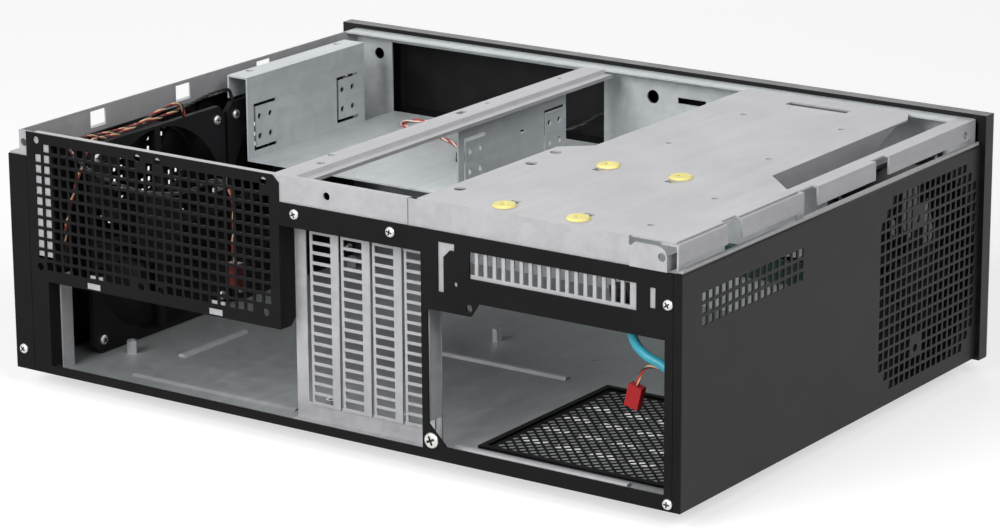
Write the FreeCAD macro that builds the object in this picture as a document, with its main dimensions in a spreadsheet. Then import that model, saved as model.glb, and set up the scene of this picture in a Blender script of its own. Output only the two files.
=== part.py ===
import FreeCAD, Part
import math
import os
import re
import Sketcher

# Low desktop case for a home theatre computer, with its top cover off.
# The front bezel faces -Y, the rear panel +Y, and the feet stand on Z = 0.
# Sheet pieces are folded steel, one skin thick.

DIMENSIONS = {
    # Whole case
    "case_width": 440, "case_depth": 321.7, "case_height": 150, "chassis_width": 434,
    "bezel_depth": 12, "foot_height": 11, "skin": 1, "wall_top": 133.5, "rim_top": 147.5,
    # Floor pan
    "bead_width": 5, "bead_height": 1.4, "long_bead_x": 150, "long_bead_start": 41, "long_bead_end": 97,
    "cross_bead_y": 12, "cross_bead_start": -52, "cross_bead_end": 33,
    "sill_bead_y": 140.5, "sill_bead_start": -175, "sill_bead_end": -69,
    "intake_slot_long": 17, "intake_slot_wide": 8, "intake_pitch_x": 22, "intake_pitch_y": 21,
    "intake_x": -191, "intake_y": 40,
    # Side panels
    "ledge_left": 8.5, "ledge_right": 4, "rail_inset_right": 3, "seam_left": 204, "seam_right": -212.4,
    "small_grid_y": 47, "small_grid_z": 103, "small_grid_pitch": 11, "small_grid_hole": 7.5,
    "fan_grid_pitch": 13, "fan_grid_hole": 9.5, "fan_grid_right_y": -92,
    # Fans
    "fan_size": 120, "fan_depth": 25, "fan_level": 72.5, "fan_bore": 58.5, "fan_hole_spacing": 105,
    "fan_hole": 2.15, "fan_flange": 3.5, "fan_wall": 1.3, "fan_corner": 5, "fan_a_y": 63.4, "fan_b_y": -59,
    "fan_c_y": -86.8, "motor_radius": 20, "motor_plate": 3, "strut_width": 5, "strut_depth": 4,
    "hub_radius": 19.5, "hub_height": 19, "hub_gap": 0.8, "shaft_radius": 1.5, "shaft_play": 0.1, "blade_tip": 57.3,
    "blade_thick": 1.8,
    # Rear panel
    "io_left": 191.5, "io_low": 16, "vent_left": 203.7, "vent_right": 30, "vent_low": 64, "vent_top": 147.5,
    "band_low": 121, "slot_window_right": -61,
    "psu_left": -65, "psu_right": -207.5, "psu_low": 19, "psu_high": 99, "psu_step_low": 91.5, "psu_step": -92,
    "psu_step_run": 5, "psu_corner": 11,
    "comb_left": -91.3, "comb_right": -191, "comb_low": 111.3, "comb_high": 125.5,
    "tab_left": -71.5, "tab_right": -82, "tab_low": 101.5, "tab_high": 128, "tab_bar": 3.8,
    "slit_left": -198.4, "slit_right": -202, "slit_low": 114, "slit_high": 124.6,
    "step_hole_x": -91, "step_hole_z": 95.8, "step_hole": 1.9, "dot_x": -82.6, "dot_z": 107, "dot_hole": 1.3,
    "post_depth": 10, "post_front": 141.2, "post_top": 66, "post_foot": 9.5, "screw_hole": 1.55,
    # Rear vent plate
    "vent_hole": 7.4, "vent_pitch_x": 11.4, "vent_pitch_z": 11, "vent_grid_x": 37, "vent_grid_z": 75,
    "small_fan_spacing": 71.5, "small_fan_a_x": 161, "small_fan_b_x": 75.7, "small_fan_level": 107.7,
    "small_fan_hole": 2.15, "clip_a_x": 158.6, "clip_b_x": 73.7, "clip_z": 66.5, "clip_wide": 9, "clip_high": 3.4,
    "hook_x": 73, "hook_z": 134,
    # Slot frame and covers
    "recess": 13, "slot_left": 21.2, "slot_pitch": 20.32, "cover_gap": 2.1, "cover_low": 21.5, "cover_high": 123,
    "frame_low": 24, "frame_high": 112, "louvre_wide": 10.5, "louvre_high": 3.3, "louvre_pitch": 5.4,
    "louvre_start": 26, "tab_depth": 10, "return_low": 30,
    # Front chassis panel
    "bay_window_left": 182.5, "bay_window_right": 28.8, "bay_window_low": 99, "bay_window_high": 142,
    "front_flange": 12, "front_hole_x": -5, "front_hole_z": 132.7, "front_hole": 4, "front_slot_left": -22,
    "front_slot_right": -41, "front_slot_low": 131, "front_slot_high": 134.5,
    "bay_hole_x": 192, "bay_hole_z": 134, "bay_hole": 3.5,
    # Top rails
    "notch_wide": 13, "notch_low": 136, "notch_high": 145.5, "notch_pitch": 74.5, "notch_left_y": -62,
    "notch_right_y": -51, "notch_right_wide": 14, "notch_right_pitch": 74.3, "rail_end_hole_y": -136,
    "rail_top_flange": 9, "rail_shelf": 137.4, "rail_ledge": 2.5, "rail_edge": 1.6, "rail_web": 7,
    "rear_rail_low": 124, "rear_flange": 4, "rail_lip": 3.5, "rail_end_left": 199, "rail_end_right": -52.5,
    "corner_tab": 8.5, "rail_hole_x": -0.8, "rail_hole_z": 140.7, "rail_hole": 2.2,
    "bracket_left": -187, "bracket_right": -208.6, "bracket_top": 146.2, "bracket_leg": 12, "bracket_hole_x": -205.6,
    # Centre bar
    "bar_left": 35.5, "bar_right": 15.5, "bar_step": 22, "bar_low": 145.5, "bar_skirt": 143.5, "bar_slope": 1.5,
    "bar_hole_x": 31, "bar_hole": 1.3,
    # Drive bay
    "bay_left": 181.5, "bay_right": 33.5, "bay_floor": 99, "bay_rear": -6, "bay_flange": 13.5, "bay_lip": 134,
    "bay_front_left": -118, "bay_front_right": -113.2, "bay_flange_hole_x": 192.4, "bay_flange_hole": 2.3,
    "pad_front_y": -101.25, "pad_pitch": 79.25, "pad_wide": 21, "pad_low": 103, "pad_high": 131, "pad_slit": 2,
    "pad_hole": 1.75, "pad_hole_pitch_y": 10, "pad_hole_pitch_z": 11.84, "pad_hole_z": 111,
    # Drive plate
    "plate_left": -58.6, "plate_step": -74.3, "plate_step_y": 31.5, "plate_step_run": 13, "plate_front": -139,
    "plate_notch_front": -177, "plate_cut": -185.4, "plate_cut_front": -123, "plate_cut_rear": 21,
    "plate_cut_corner": 40, "plate_right": -212, "plate_rear_right": -205, "plate_notch": 2.5, "plate_flange_low": 100,
    "plate_skirt_left": -53, "plate_skirt_right": -203, "skirt_corner": -186, "skirt_low": 144, "plate_lip": 141, "plate_cut_lip": 136,
    "cut_lip_front": -110, "cut_lip_low_front": -82, "cut_lip_rear": 18, "side_hole": 3.2,
    "comb_pitch": 5.46, "comb_slot": 3.4, "grommet_x": -104, "grommet_y": 50.8, "drive_spacing_x": 44.45,
    "drive_spacing_y": 95.25, "grommet_neck": 4, "grommet_radius": 6.3, "grommet_hole": 1.9, "grommet_lip": 1.3,
    "key_long": 6, "key_wide": 5, "key_offset": 6.5, "ssd_x": -166, "ssd_y": -84.5, "ssd_spacing_x": 61.72,
    "ssd_spacing_y": 76.6, "ssd_hole": 1.75, "edge_hole_x": -184.5, "front_cut_left": -111,
    "front_cut_right": -149.5, "front_cut_y": -121, "front_cut_wide": 7,
    # Filter over the power-supply intake
    "filter_left": -78, "filter_right": -205, "filter_front": 11.5, "filter_rear": 134, "filter_thick": 1.6,
    "filter_hole": 10.5, "filter_pitch_x": 15.4, "filter_pitch_y": 17.3,
    # Motherboard standoffs
    "standoff_x": 178.1, "standoff_rear_y": 129.44, "standoff_step_x": 157.48, "standoff_far_x": 203.2,
    "standoff_port_step": 22.86, "standoff_mid_step": 154.94, "standoff_step_y": 72.39, "standoff_high": 7.5,
    "standoff_radius": 3, "standoff_hole": 1.6,
    # Feet
    "foot_x": 181, "foot_rear_y": 124.5, "foot_front_y": -122, "foot_radius": 11, "foot_taper": 2, "foot_cup": 2.5,
    "foot_pad_radius": 7.5, "foot_pad_high": 4,
    # Front bezel, door, buttons and ports
    "bezel_low": 10, "bezel_face": 3.5, "bezel_rim": 5, "bezel_round": 4, "door_left": 179.5, "door_right": 29.5,
    "door_low": 98, "door_high": 142, "door_play": 0.5, "door_thick": 3, "door_pivot": 2.4, "pin_radius": 1,
    "pin_long": 2.6, "pin_play": 0.1, "power_x": 8, "power_z": 121, "power_radius": 7.5, "reset_x": -16,
    "reset_radius": 3, "button_play": 0.4, "button_flange": 1.6, "button_set": 0.4, "stem_radius": 2.4,
    "stem_long": 1.6, "switch_wide": 12, "switch_deep": 2.6,
    "port_z": 42, "usb_x": -128, "usb_pitch": 22, "usb_wide": 13.2, "usb_high": 5.8, "usb_wall": 0.6,
    "jack_x": -82, "jack_pitch": 16, "jack_radius": 3.6, "jack_hole": 1.8, "port_play": 0.4, "port_set": 0.6,
    "board_left": -58, "board_right": -160, "board_low": 33, "board_high": 53, "board_thick": 1.6,
    # Screws
    "head_radius": 2.75, "head_high": 1.7, "shank_radius": 1.4, "shank_long": 4, "big_head_radius": 4.2,
    # Cords
    "fan_cord": 2.2, "bay_cord": 2, "port_cord": 5, "plug_cord": 2,
    "tie_x": -180.6, "tie_y": 145.7, "tie_z": 102.2, "tie_wide": 8.4, "tie_high": 2.6,
}

SIDE = "(chassis_width / 2)"
REAR = "(case_depth / 2 - head_high)"
FRONT = "(-case_depth / 2)"
BACK = "(bezel_depth - case_depth / 2)"
BASE = "foot_height"
FLOOR = "(foot_height + skin)"
SLOT_PLANE = "(case_depth / 2 - head_high - recess)"
FAN_INSET = "(chassis_width / 2 - skin)"

doc = FreeCAD.newDocument("htpc_case")
sheet = doc.addObject("Spreadsheet::Sheet", "dims")
for row, (alias, number) in enumerate(DIMENSIONS.items(), 1):
    sheet.set(f"A{row}", alias)
    sheet.set(f"B{row}", str(number))
    sheet.setAlias(f"B{row}", alias)
doc.recompute()

pieces = []


def bind(text):
    """Expression in which every word is an alias of the sheet."""
    return re.sub(r"[a-z][a-z_]*", lambda word: "dims." + word.group(), str(text))


def size(text):
    """Present value of such an expression, in millimetres."""
    return float(sheet.evalExpression(bind(text)))


def new_body(label, keep=True):
    body = doc.addObject("PartDesign::Body", label)
    body.Label = label
    if keep:
        pieces.append(body)
    return body


def new_sketch(body, plane, level):
    """Sketch on an origin plane of the body, moved to a level of the frame (XZ looks along -Y)."""
    sketch = body.newObject("Sketcher::SketchObject", "sketch")
    support = [item for item in body.Origin.OriginFeatures if item.Role == plane + "_Plane"][0]
    sketch.AttachmentSupport = (support, [""])
    sketch.MapMode = "FlatFace"
    sign = "-" if plane == "XZ" else ""
    sketch.setExpression("AttachmentOffset.Base.z", bind(f"{sign}({level})"))
    return sketch


def place_points(sketch, placed):
    """Hold points of the sketch's edges at places given by expressions."""
    first = sketch.ConstraintCount
    rules = []
    texts = []
    for edge, end, place in placed:
        for kind, text in zip(("DistanceX", "DistanceY"), place):
            rules.append(Sketcher.Constraint(kind, -1, 1, edge, end, size(text)))
            texts.append(text)
    sketch.addConstraint(rules)
    for index, text in enumerate(texts):
        sketch.setExpression(f"Constraints[{first + index}]", bind(text))


def loop(sketch, corners):
    """Closed outline of straight edges."""
    spots = [FreeCAD.Vector(size(across), size(up), 0) for across, up in corners]
    first = sketch.GeometryCount
    count = len(corners)
    sketch.addGeometry([Part.LineSegment(spots[i], spots[(i + 1) % count]) for i in range(count)])
    sketch.addConstraint([
        Sketcher.Constraint("Coincident", first + i, 2, first + (i + 1) % count, 1) for i in range(count)])
    place_points(sketch, [(first + i, 1, corner) for i, corner in enumerate(corners)])


def rect(sketch, left, right, low, high):
    loop(sketch, [(left, low), (right, low), (right, high), (left, high)])


def square(sketch, across, up, side):
    rect(sketch, f"{across} - {side} / 2", f"{across} + {side} / 2", f"{up} - {side} / 2", f"{up} + {side} / 2")


def ring(sketch, across, up, radius):
    edge = sketch.GeometryCount
    sketch.addGeometry(Part.Circle(FreeCAD.Vector(size(across), size(up), 0), FreeCAD.Vector(0, 0, 1), size(radius)))
    rule = sketch.addConstraint(Sketcher.Constraint("Radius", edge, size(radius)))
    sketch.setExpression(f"Constraints[{rule}]", bind(radius))
    place_points(sketch, [(edge, 3, (across, up))])


def pad(body, sketch, length, turned=False):
    """Solid from the sketch, along its normal: +X, -Y or +Z, or the other way if turned."""
    feature = body.newObject("PartDesign::Pad", "pad")
    feature.Profile = sketch
    feature.Reversed = turned
    feature.setExpression("Length", bind(length))
    return feature


def cut(body, sketch, depth="4 * skin"):
    """Pocket that reaches half its depth to both sides of the sketch."""
    feature = body.newObject("PartDesign::Pocket", "pocket")
    feature.Profile = sketch
    feature.SideType = "Symmetric"
    feature.setExpression("Length", bind(depth))
    return feature


def repeat(body, feature, sketch, across=("1", 1), up=("1", 1)):
    """Rows and columns of a feature along its sketch's axes, each given as pitch and count."""
    pattern = body.newObject("PartDesign::LinearPattern", "pattern")
    pattern.Originals = [feature]
    pattern.Direction = (sketch, ["H_Axis"])
    pattern.Mode = "Spacing"
    pattern.setExpression("Offset", bind(across[0]))
    pattern.Occurrences = across[1]
    pattern.Direction2 = (sketch, ["V_Axis"])
    pattern.Mode2 = "Spacing"
    pattern.setExpression("Offset2", bind(up[0]))
    pattern.Occurrences2 = up[1]
    pattern.Spacings2 = [-1] * (up[1] - 1)
    body.Tip = pattern
    return pattern


def turn(body, sketch):
    """Solid of revolution about the vertical axis of the sketch."""
    feature = body.newObject("PartDesign::Revolution", "turned")
    feature.Profile = sketch
    feature.ReferenceAxis = (sketch, ["V_Axis"])
    feature.Angle = 360
    return feature


def copies(label, template, placements):
    """One piece made of equal solids, each a copy of the template at its own placement."""
    doc.recompute()
    piece = doc.addObject("Part::Feature", label)
    piece.Label = label
    solids = []
    for placement in placements:
        solid = template.Shape.copy()
        solid.Placement = placement.multiply(solid.Placement)
        solids.append(solid)
    piece.Shape = solids[0] if len(solids) == 1 else Part.Compound(solids)
    pieces.append(piece)
    return piece


def at(x, y, z, axis=(0, 0, 1), angle=0):
    spot = FreeCAD.Vector(size(x), size(y), size(z))
    return FreeCAD.Placement(spot, FreeCAD.Rotation(FreeCAD.Vector(*axis), angle))


def facing_rear(x, y, z):
    """Turns a template's +Z to +Y, as on a screw in the rear panel."""
    return at(x, y, z, (1, 0, 0), -90)


FLOOR_HOLES = [
    ("standoff_x - standoff_far_x", "standoff_rear_y - standoff_mid_step"),
    ("standoff_x - standoff_far_x", "standoff_rear_y - standoff_mid_step - standoff_step_y"),
    ("-45.4", "standoff_rear_y - standoff_mid_step"), ("2.4", "-10.8")]


def bead(body, plane, middle, name):
    """Stiffening bead pressed up from the floor, with sloping sides, between its start and end."""
    section = new_sketch(body, plane, f"{name}_end" if plane == "XZ" else f"{name}_start")
    top = f"({FLOOR} + bead_height)"
    loop(section, [
        (f"{middle} - bead_width / 2", FLOOR), (f"{middle} - bead_width / 4", top),
        (f"{middle} + bead_width / 4", top), (f"{middle} + bead_width / 2", FLOOR)])
    pad(body, section, f"{name}_end - {name}_start")


def floor_pan():
    body = new_body("floor_pan")
    plan = new_sketch(body, "XY", BASE)
    rect(plan, f"skin - {SIDE}", f"{SIDE} - skin", f"{BACK} + skin", f"{REAR} - skin")
    for across, along in FLOOR_HOLES:
        ring(plan, across, along, "standoff_hole")
    pad(body, plan, "skin")
    bead(body, "XZ", "long_bead_x", "long_bead")
    bead(body, "YZ", "cross_bead_y", "cross_bead")
    bead(body, "YZ", "sill_bead_y", "sill_bead")
    slot = new_sketch(body, "XY", BASE)
    rect(slot, "intake_x", "intake_x + intake_slot_long", "intake_y", "intake_y + intake_slot_wide")
    repeat(body, cut(body, slot), slot, ("intake_pitch_x", 5), ("intake_pitch_y", 4))


def fan_grid(body, wall, centre_y):
    """Punched square grid in front of a fan, one hole short at each corner."""
    full = new_sketch(body, "YZ", wall)
    square(full, f"{centre_y} - 3.5 * fan_grid_pitch", "fan_level - 2.5 * fan_grid_pitch", "fan_grid_hole")
    repeat(body, cut(body, full), full, ("fan_grid_pitch", 8), ("fan_grid_pitch", 6))
    ends = new_sketch(body, "YZ", wall)
    square(ends, f"{centre_y} - 2.5 * fan_grid_pitch", "fan_level - 3.5 * fan_grid_pitch", "fan_grid_hole")
    repeat(body, cut(body, ends), ends, ("fan_grid_pitch", 6), ("7 * fan_grid_pitch", 2))


REAR_SCREWS = [("19.3", "128.5"), ("-42.4", "128.5"), ("-209.6", "117.4"), ("-210", "15")]
SIDE_SCREW = ("211", "22.7")
BIG_SCREW = ("-67", "21.3")


def side_panel(label, hand, ledge, seam, screws):
    """Wall with its top edge stepped inwards and its rear edge returned; hand is "" at +X and "-" at -X."""
    body = new_body(label)
    section = new_sketch(body, "XZ", f"{REAR} - skin")
    loop(section, [
        (f"{hand}{SIDE}", BASE), (f"{hand}{SIDE}", "wall_top"), (f"{hand}({SIDE} - {ledge})", "wall_top"),
        (f"{hand}({SIDE} - {ledge})", "wall_top - skin"), (f"{hand}({SIDE} - skin)", "wall_top - skin"),
        (f"{hand}({SIDE} - skin)", BASE)])
    pad(body, section, f"{REAR} - skin - {BACK}")
    flange = new_sketch(body, "XZ", REAR)
    rect(flange, seam, f"{hand}{SIDE}", BASE, "wall_top")
    for across, up in screws:
        ring(flange, across, up, "screw_hole")
    pad(body, flange, "skin")
    return body


def side_panels():
    left = side_panel("side_panel_left", "", "ledge_left", "seam_left", [SIDE_SCREW])
    fan_grid(left, SIDE, "fan_a_y")
    fan_grid(left, SIDE, "fan_b_y")
    right = side_panel("side_panel_right", "-", "ledge_right", "seam_right", [])
    fan_grid(right, f"-{SIDE}", "fan_grid_right_y")
    small = new_sketch(right, "YZ", f"-{SIDE}")
    square(small, "small_grid_y", "small_grid_z", "small_grid_hole")
    repeat(right, cut(right, small), small, ("small_grid_pitch", 9), ("small_grid_pitch", 2))


def rear_panel():
    body = new_body("rear_panel")
    face = new_sketch(body, "XZ", REAR)
    edge = "(seam_right + 0.2)"
    loop(face, [
        ("vent_left", BASE), ("vent_left", "vent_low"), ("io_left", "vent_low"),
        ("io_left", "io_low"), ("slot_window_right", "io_low"), ("slot_window_right", "band_low"),
        ("vent_right", "band_low"), ("vent_right", "wall_top"), (edge, "wall_top"), (edge, BASE)])
    loop(face, [
        ("psu_left", "psu_low + psu_corner"), ("psu_left", "psu_step_low"), ("psu_step", "psu_step_low"),
        ("psu_step - psu_step_run", "psu_high"), ("psu_right", "psu_high"), ("psu_right", "psu_low"),
        ("psu_left - psu_corner", "psu_low")])
    rect(face, "comb_right", "comb_left", "comb_low", "comb_high")
    loop(face, [
        ("tab_left", "tab_low"), ("tab_left", "tab_high"), ("tab_right", "tab_high"),
        ("tab_right", "tab_high - tab_bar"), ("tab_left - 2 * tab_bar", "tab_high - tab_bar"),
        ("tab_left - tab_bar", "tab_high - 2 * tab_bar"), ("tab_left - tab_bar", "tab_low")])
    rect(face, "slit_right", "slit_left", "slit_low", "slit_high")
    for across, up in REAR_SCREWS + [BIG_SCREW]:
        ring(face, across, up, "screw_hole")
    ring(face, "step_hole_x", "step_hole_z", "step_hole")
    ring(face, "dot_x", "dot_z", "dot_hole")
    pad(body, face, "skin")
    side = new_sketch(body, "YZ", "io_left")
    rect(side, f"{REAR} - post_depth", f"{REAR} - skin", "io_low", "vent_low")
    pad(body, side, "skin")


def rear_post():
    """Folded post on the floor beside the connector opening, against the rear panel's flange."""
    body = new_body("rear_post")
    wall = new_sketch(body, "XY", FLOOR)
    rect(wall, "io_left - skin", "io_left", "post_front", f"{REAR} - post_depth + skin")
    pad(body, wall, f"post_top - {FLOOR}")
    foot = new_sketch(body, "XY", FLOOR)
    rect(foot, "io_left", "io_left + post_foot", "post_front", f"{REAR} - post_depth - skin")
    pad(body, foot, "skin")


def rear_vent_plate():
    body = new_body("rear_vent_plate")
    face = new_sketch(body, "XZ", REAR)
    loop(face, [
        ("vent_left", "vent_low"), ("vent_left", "vent_top"), ("vent_right + 4", "vent_top"),
        ("vent_right", "vent_top - 4"), ("vent_right", "vent_low")])
    for centre in ("small_fan_a_x", "small_fan_b_x"):
        for across in ("-", "+"):
            for up in ("-", "+"):
                ring(face, f"{centre} {across} small_fan_spacing / 2",
                     f"small_fan_level {up} small_fan_spacing / 2", "small_fan_hole")
    for centre in ("clip_a_x", "clip_b_x"):
        rect(face, f"{centre} - clip_wide / 2", f"{centre} + clip_wide / 2",
             "clip_z - clip_high / 2", "clip_z + clip_high / 2")
    pad(body, face, "skin")
    side = new_sketch(body, "YZ", "vent_right")
    loop(side, [
        (f"{SLOT_PLANE}", "vent_low + 4"), (f"{SLOT_PLANE}", "band_low"), (f"{REAR} - skin", "band_low"),
        (f"{REAR} - skin", "vent_low"), (f"{SLOT_PLANE} + 4", "vent_low")])
    pad(body, side, "skin")
    hole = new_sketch(body, "XZ", REAR)
    square(hole, "vent_grid_x + vent_hole / 2", "vent_grid_z + vent_hole / 2", "vent_hole")
    repeat(body, cut(body, hole), hole, ("vent_pitch_x", 14), ("vent_pitch_z", 6))


def vent_plate_clips():
    clip = new_body("clip_template", keep=False)
    head = new_sketch(clip, "XZ", "0")
    rect(head, "-clip_wide / 2 + 0.1", "clip_wide / 2 - 0.1", "-clip_high / 2 + 0.1", "clip_high / 2 - 0.1")
    pad(clip, head, "skin")
    leaf = new_sketch(clip, "XZ", "-skin")
    rect(leaf, "-clip_wide / 2 - 1", "clip_wide / 2 + 1", "-clip_high / 2 + 0.1", "clip_high / 2 + 4")
    pad(clip, leaf, "skin")
    copies("vent_plate_clips", clip, [at(x, REAR, "clip_z") for x in ("clip_a_x", "clip_b_x")])


def lead_hook():
    """Bent wire hook on the vent plate, which carries the long fan lead."""
    body = new_body("lead_hook")
    side = new_sketch(body, "YZ", "hook_x")
    loop(side, [
        (f"{REAR} - skin", "hook_z - 2"), (f"{REAR} - skin", "hook_z"), (f"{REAR} - 10", "hook_z"),
        (f"{REAR} - 10", "hook_z + 5"), (f"{REAR} - 11.5", "hook_z + 5"), (f"{REAR} - 11.5", "hook_z - 2")])
    pad(body, side, "1.6 * skin")


def slot_frame():
    body = new_body("slot_frame")
    face = new_sketch(body, "XZ", SLOT_PLANE)
    rect(face, "slot_window_right - 3", "vent_right", FLOOR, "band_low - 1.5")
    rect(face, "slot_left - 4 * slot_pitch + 2", "slot_left - 2", "frame_low", "frame_high")
    pad(body, face, "skin")
    ledge = new_sketch(body, "XY", FLOOR)
    rect(ledge, "slot_window_right", "vent_right", SLOT_PLANE, f"{REAR} - 1.5 * skin")
    pad(body, ledge, "skin")
    hem = new_sketch(body, "XY", "return_low")
    near = "(slot_window_right - 2)"
    loop(hem, [
        (near, SLOT_PLANE), (near, f"{REAR} - skin"), ("psu_left", f"{REAR} - skin"),
        ("psu_left", f"{REAR} - 2 * skin"), (f"{near} - skin", f"{REAR} - 2 * skin"),
        (f"{near} - skin", SLOT_PLANE)])
    pad(body, hem, "psu_step_low - return_low")


def slot_cover(number):
    """Vented blanking plate with a column of louvre slots and a screw tab at its top."""
    left = f"(slot_left - {number - 1} * slot_pitch - cover_gap / 2)"
    right = f"(slot_left - {number} * slot_pitch + cover_gap / 2)"
    middle = f"(slot_left - {number - 0.5} * slot_pitch)"
    body = new_body(f"slot_cover_{number}")
    face = new_sketch(body, "XZ", f"{SLOT_PLANE} + skin")
    rect(face, right, left, "cover_low", "cover_high")
    pad(body, face, "skin")
    tab = new_sketch(body, "XY", "cover_high")
    rect(tab, right, left, f"{SLOT_PLANE} + skin", f"{SLOT_PLANE} + skin + tab_depth")
    ring(tab, middle, f"{SLOT_PLANE} + skin + tab_depth / 2", "screw_hole")
    pad(body, tab, "skin", turned=True)
    slot = new_sketch(body, "XZ", f"{SLOT_PLANE} + skin")
    rect(slot, f"{middle} - louvre_wide / 2", f"{middle} + louvre_wide / 2",
         "louvre_start", "louvre_start + louvre_high")
    repeat(body, cut(body, slot), slot, up=("louvre_pitch", 17))


def front_panel():
    body = new_body("front_panel")
    face = new_sketch(body, "XZ", f"{BACK} + skin")
    edge = f"({SIDE} - skin)"
    right = f"-({SIDE} - ledge_right)"
    left = f"({SIDE} - ledge_left)"
    loop(face, [
        (edge, BASE), (edge, "wall_top - skin"), (left, "wall_top - skin"), (left, "rim_top"), (right, "rim_top"),
        (right, "wall_top - skin"), (f"-{edge}", "wall_top - skin"), (f"-{edge}", BASE)])
    rect(face, "bay_window_right", "bay_window_left", "bay_window_low", "bay_window_high")
    rect(face, "front_slot_right", "front_slot_left", "front_slot_low", "front_slot_high")
    ring(face, "front_hole_x", "front_hole_z", "front_hole")
    ring(face, "bay_hole_x", "bay_hole_z", "bay_hole")
    rect(face, "board_right + 2", "board_left - 2", "board_low + 2", "board_high - 2")
    pad(body, face, "skin")
    flange = new_sketch(body, "XY", "rim_top")
    rect(flange, f"-({SIDE} - rail_inset_right - skin - rail_top_flange)", left,
         f"{BACK} + skin", f"{BACK} + front_flange")
    pad(body, flange, "skin", turned=True)


def top_rail_left():
    body = new_body("top_rail_left")
    inner = f"({SIDE} - ledge_left)"
    section = new_sketch(body, "XZ", f"{REAR} - skin")
    loop(section, [
        (inner, "wall_top"), (inner, "rim_top"), (f"{inner} + skin", "rim_top"), (f"{inner} + skin", "wall_top + skin"),
        (f"{SIDE} - 0.5", "wall_top + skin"), (f"{SIDE} - 0.5", "wall_top")])
    pad(body, section, f"{REAR} - skin - {BACK}")
    notch = new_sketch(body, "YZ", inner)
    rect(notch, "notch_left_y", "notch_left_y + notch_wide", "notch_low", "notch_high")
    repeat(body, cut(body, notch), notch, ("notch_pitch", 3))
    tab = new_sketch(body, "XZ", f"{REAR} - skin")
    rect(tab, f"{inner} - corner_tab", inner, "wall_top", "rim_top")
    ring(tab, f"{inner} - corner_tab / 2 + 2", "rail_hole_z", "rail_hole")
    pad(body, tab, "skin")


def top_rail_right():
    """Rail with a wall and a small lip below it; long slots between them take the cover's hooks."""
    body = new_body("top_rail_right")
    outer = f"(rail_inset_right - {SIDE})"
    flange = f"({outer} + skin + rail_top_flange)"
    lip = f"({outer} - rail_ledge)"
    section = new_sketch(body, "XZ", f"{REAR} - 2 * skin")
    loop(section, [
        (outer, "rim_top"), (flange, "rim_top"), (flange, "rim_top - skin"), (f"{outer} + skin", "rim_top - skin"),
        (f"{outer} + skin", "wall_top"), (lip, "wall_top"), (lip, "wall_top + rail_edge"),
        (f"{lip} + skin", "wall_top + rail_edge"), (f"{lip} + skin", "wall_top + skin"), (outer, "wall_top + skin")])
    pad(body, section, f"{REAR} - 3 * skin - {BACK}")
    slots = new_sketch(body, "YZ", f"{outer} + skin / 2")
    web = "(notch_right_y + notch_right_wide + notch_right_pitch)"
    rect(slots, f"{BACK} + rail_web", web, "wall_top + skin", "rail_shelf")
    rect(slots, f"{web} + rail_web", f"{REAR} - rail_web", "wall_top + skin", "rail_shelf")
    cut(body, slots, "2 * skin")
    notch = new_sketch(body, "YZ", outer)
    rect(notch, "notch_right_y", "notch_right_y + notch_right_wide", "rail_shelf - 0.5", "rim_top + 1")
    repeat(body, cut(body, notch, "7 * skin"), notch, ("notch_right_pitch", 3))
    hole = new_sketch(body, "YZ", outer)
    ring(hole, "rail_end_hole_y", "rail_hole_z", "rail_hole")
    cut(body, hole)


def top_rail_rear():
    body = new_body("top_rail_rear")
    section = new_sketch(body, "YZ", "rail_end_right")
    loop(section, [
        (f"{REAR} - skin", "rear_rail_low"), (f"{REAR} - skin", "rim_top"), (f"{REAR} - skin - rear_flange", "rim_top"),
        (f"{REAR} - skin - rear_flange", "rim_top - skin"), (f"{REAR} - 2 * skin", "rim_top - skin"),
        (f"{REAR} - 2 * skin", "rear_rail_low")])
    pad(body, section, "rail_end_left - rail_end_right")
    opening = new_sketch(body, "XZ", f"{REAR} - skin")
    rect(opening, "vent_right + 3", "rail_end_left + 1", "rear_rail_low - 1", "rim_top - rail_lip")
    ring(opening, "rail_hole_x", "rail_hole_z", "rail_hole")
    for across, up in REAR_SCREWS[:2]:
        ring(opening, across, up, "screw_hole")
    cut(body, opening)


def rear_corner_bracket():
    """Raised tab on the drive plate's skirt, with a round corner and a leg turned inwards."""
    body = new_body("rear_corner_bracket")
    face = new_sketch(body, "XZ", REAR)
    loop(face, [
        ("bracket_right", "wall_top"), ("bracket_right", "bracket_top - 5"), ("bracket_right + 1.2", "bracket_top - 2"),
        ("bracket_right + 4", "bracket_top - 0.5"), ("bracket_right + 8", "bracket_top"),
        ("bracket_left - 3", "bracket_top"), ("bracket_left", "bracket_top - 3"), ("bracket_left", "wall_top")])
    ring(face, "bracket_hole_x", "rail_hole_z", "rail_hole")
    pad(body, face, "skin")
    leg = new_sketch(body, "YZ", "bracket_right")
    rect(leg, f"{REAR} - bracket_leg", f"{REAR} - skin", "wall_top", "bracket_top - 5")
    pad(body, leg, "skin")


BAR_HOLES = [("27", "126", "2.2"), ("33", "109", "2"), ("bar_hole_x", "-32", "bar_hole"),
             ("bar_hole_x", "-104", "bar_hole")]


def centre_bar():
    """Folded strip with a step along its top, between the front and rear rails."""
    body = new_body("centre_bar")
    section = new_sketch(body, "XZ", f"{REAR} - skin - rear_flange")
    loop(section, [
        ("bar_right", "bar_skirt"), ("bar_right", "bar_low"), ("bar_step - bar_slope", "bar_low"),
        ("bar_step", "rim_top"), ("bar_left", "rim_top"), ("bar_left", "rim_top - skin"),
        ("bar_step + skin / 2", "rim_top - skin"), ("bar_step - bar_slope + skin / 2", "bar_low - skin"),
        ("bar_right + skin", "bar_low - skin"), ("bar_right + skin", "bar_skirt")])
    pad(body, section, f"{REAR} - skin - rear_flange - {BACK} - front_flange")
    holes = new_sketch(body, "XY", "rim_top")
    rect(holes, "28.5", "32.4", "-9.5", "-2.5")
    for across, along, radius in BAR_HOLES:
        ring(holes, across, along, radius)
    cut(body, holes)


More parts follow.
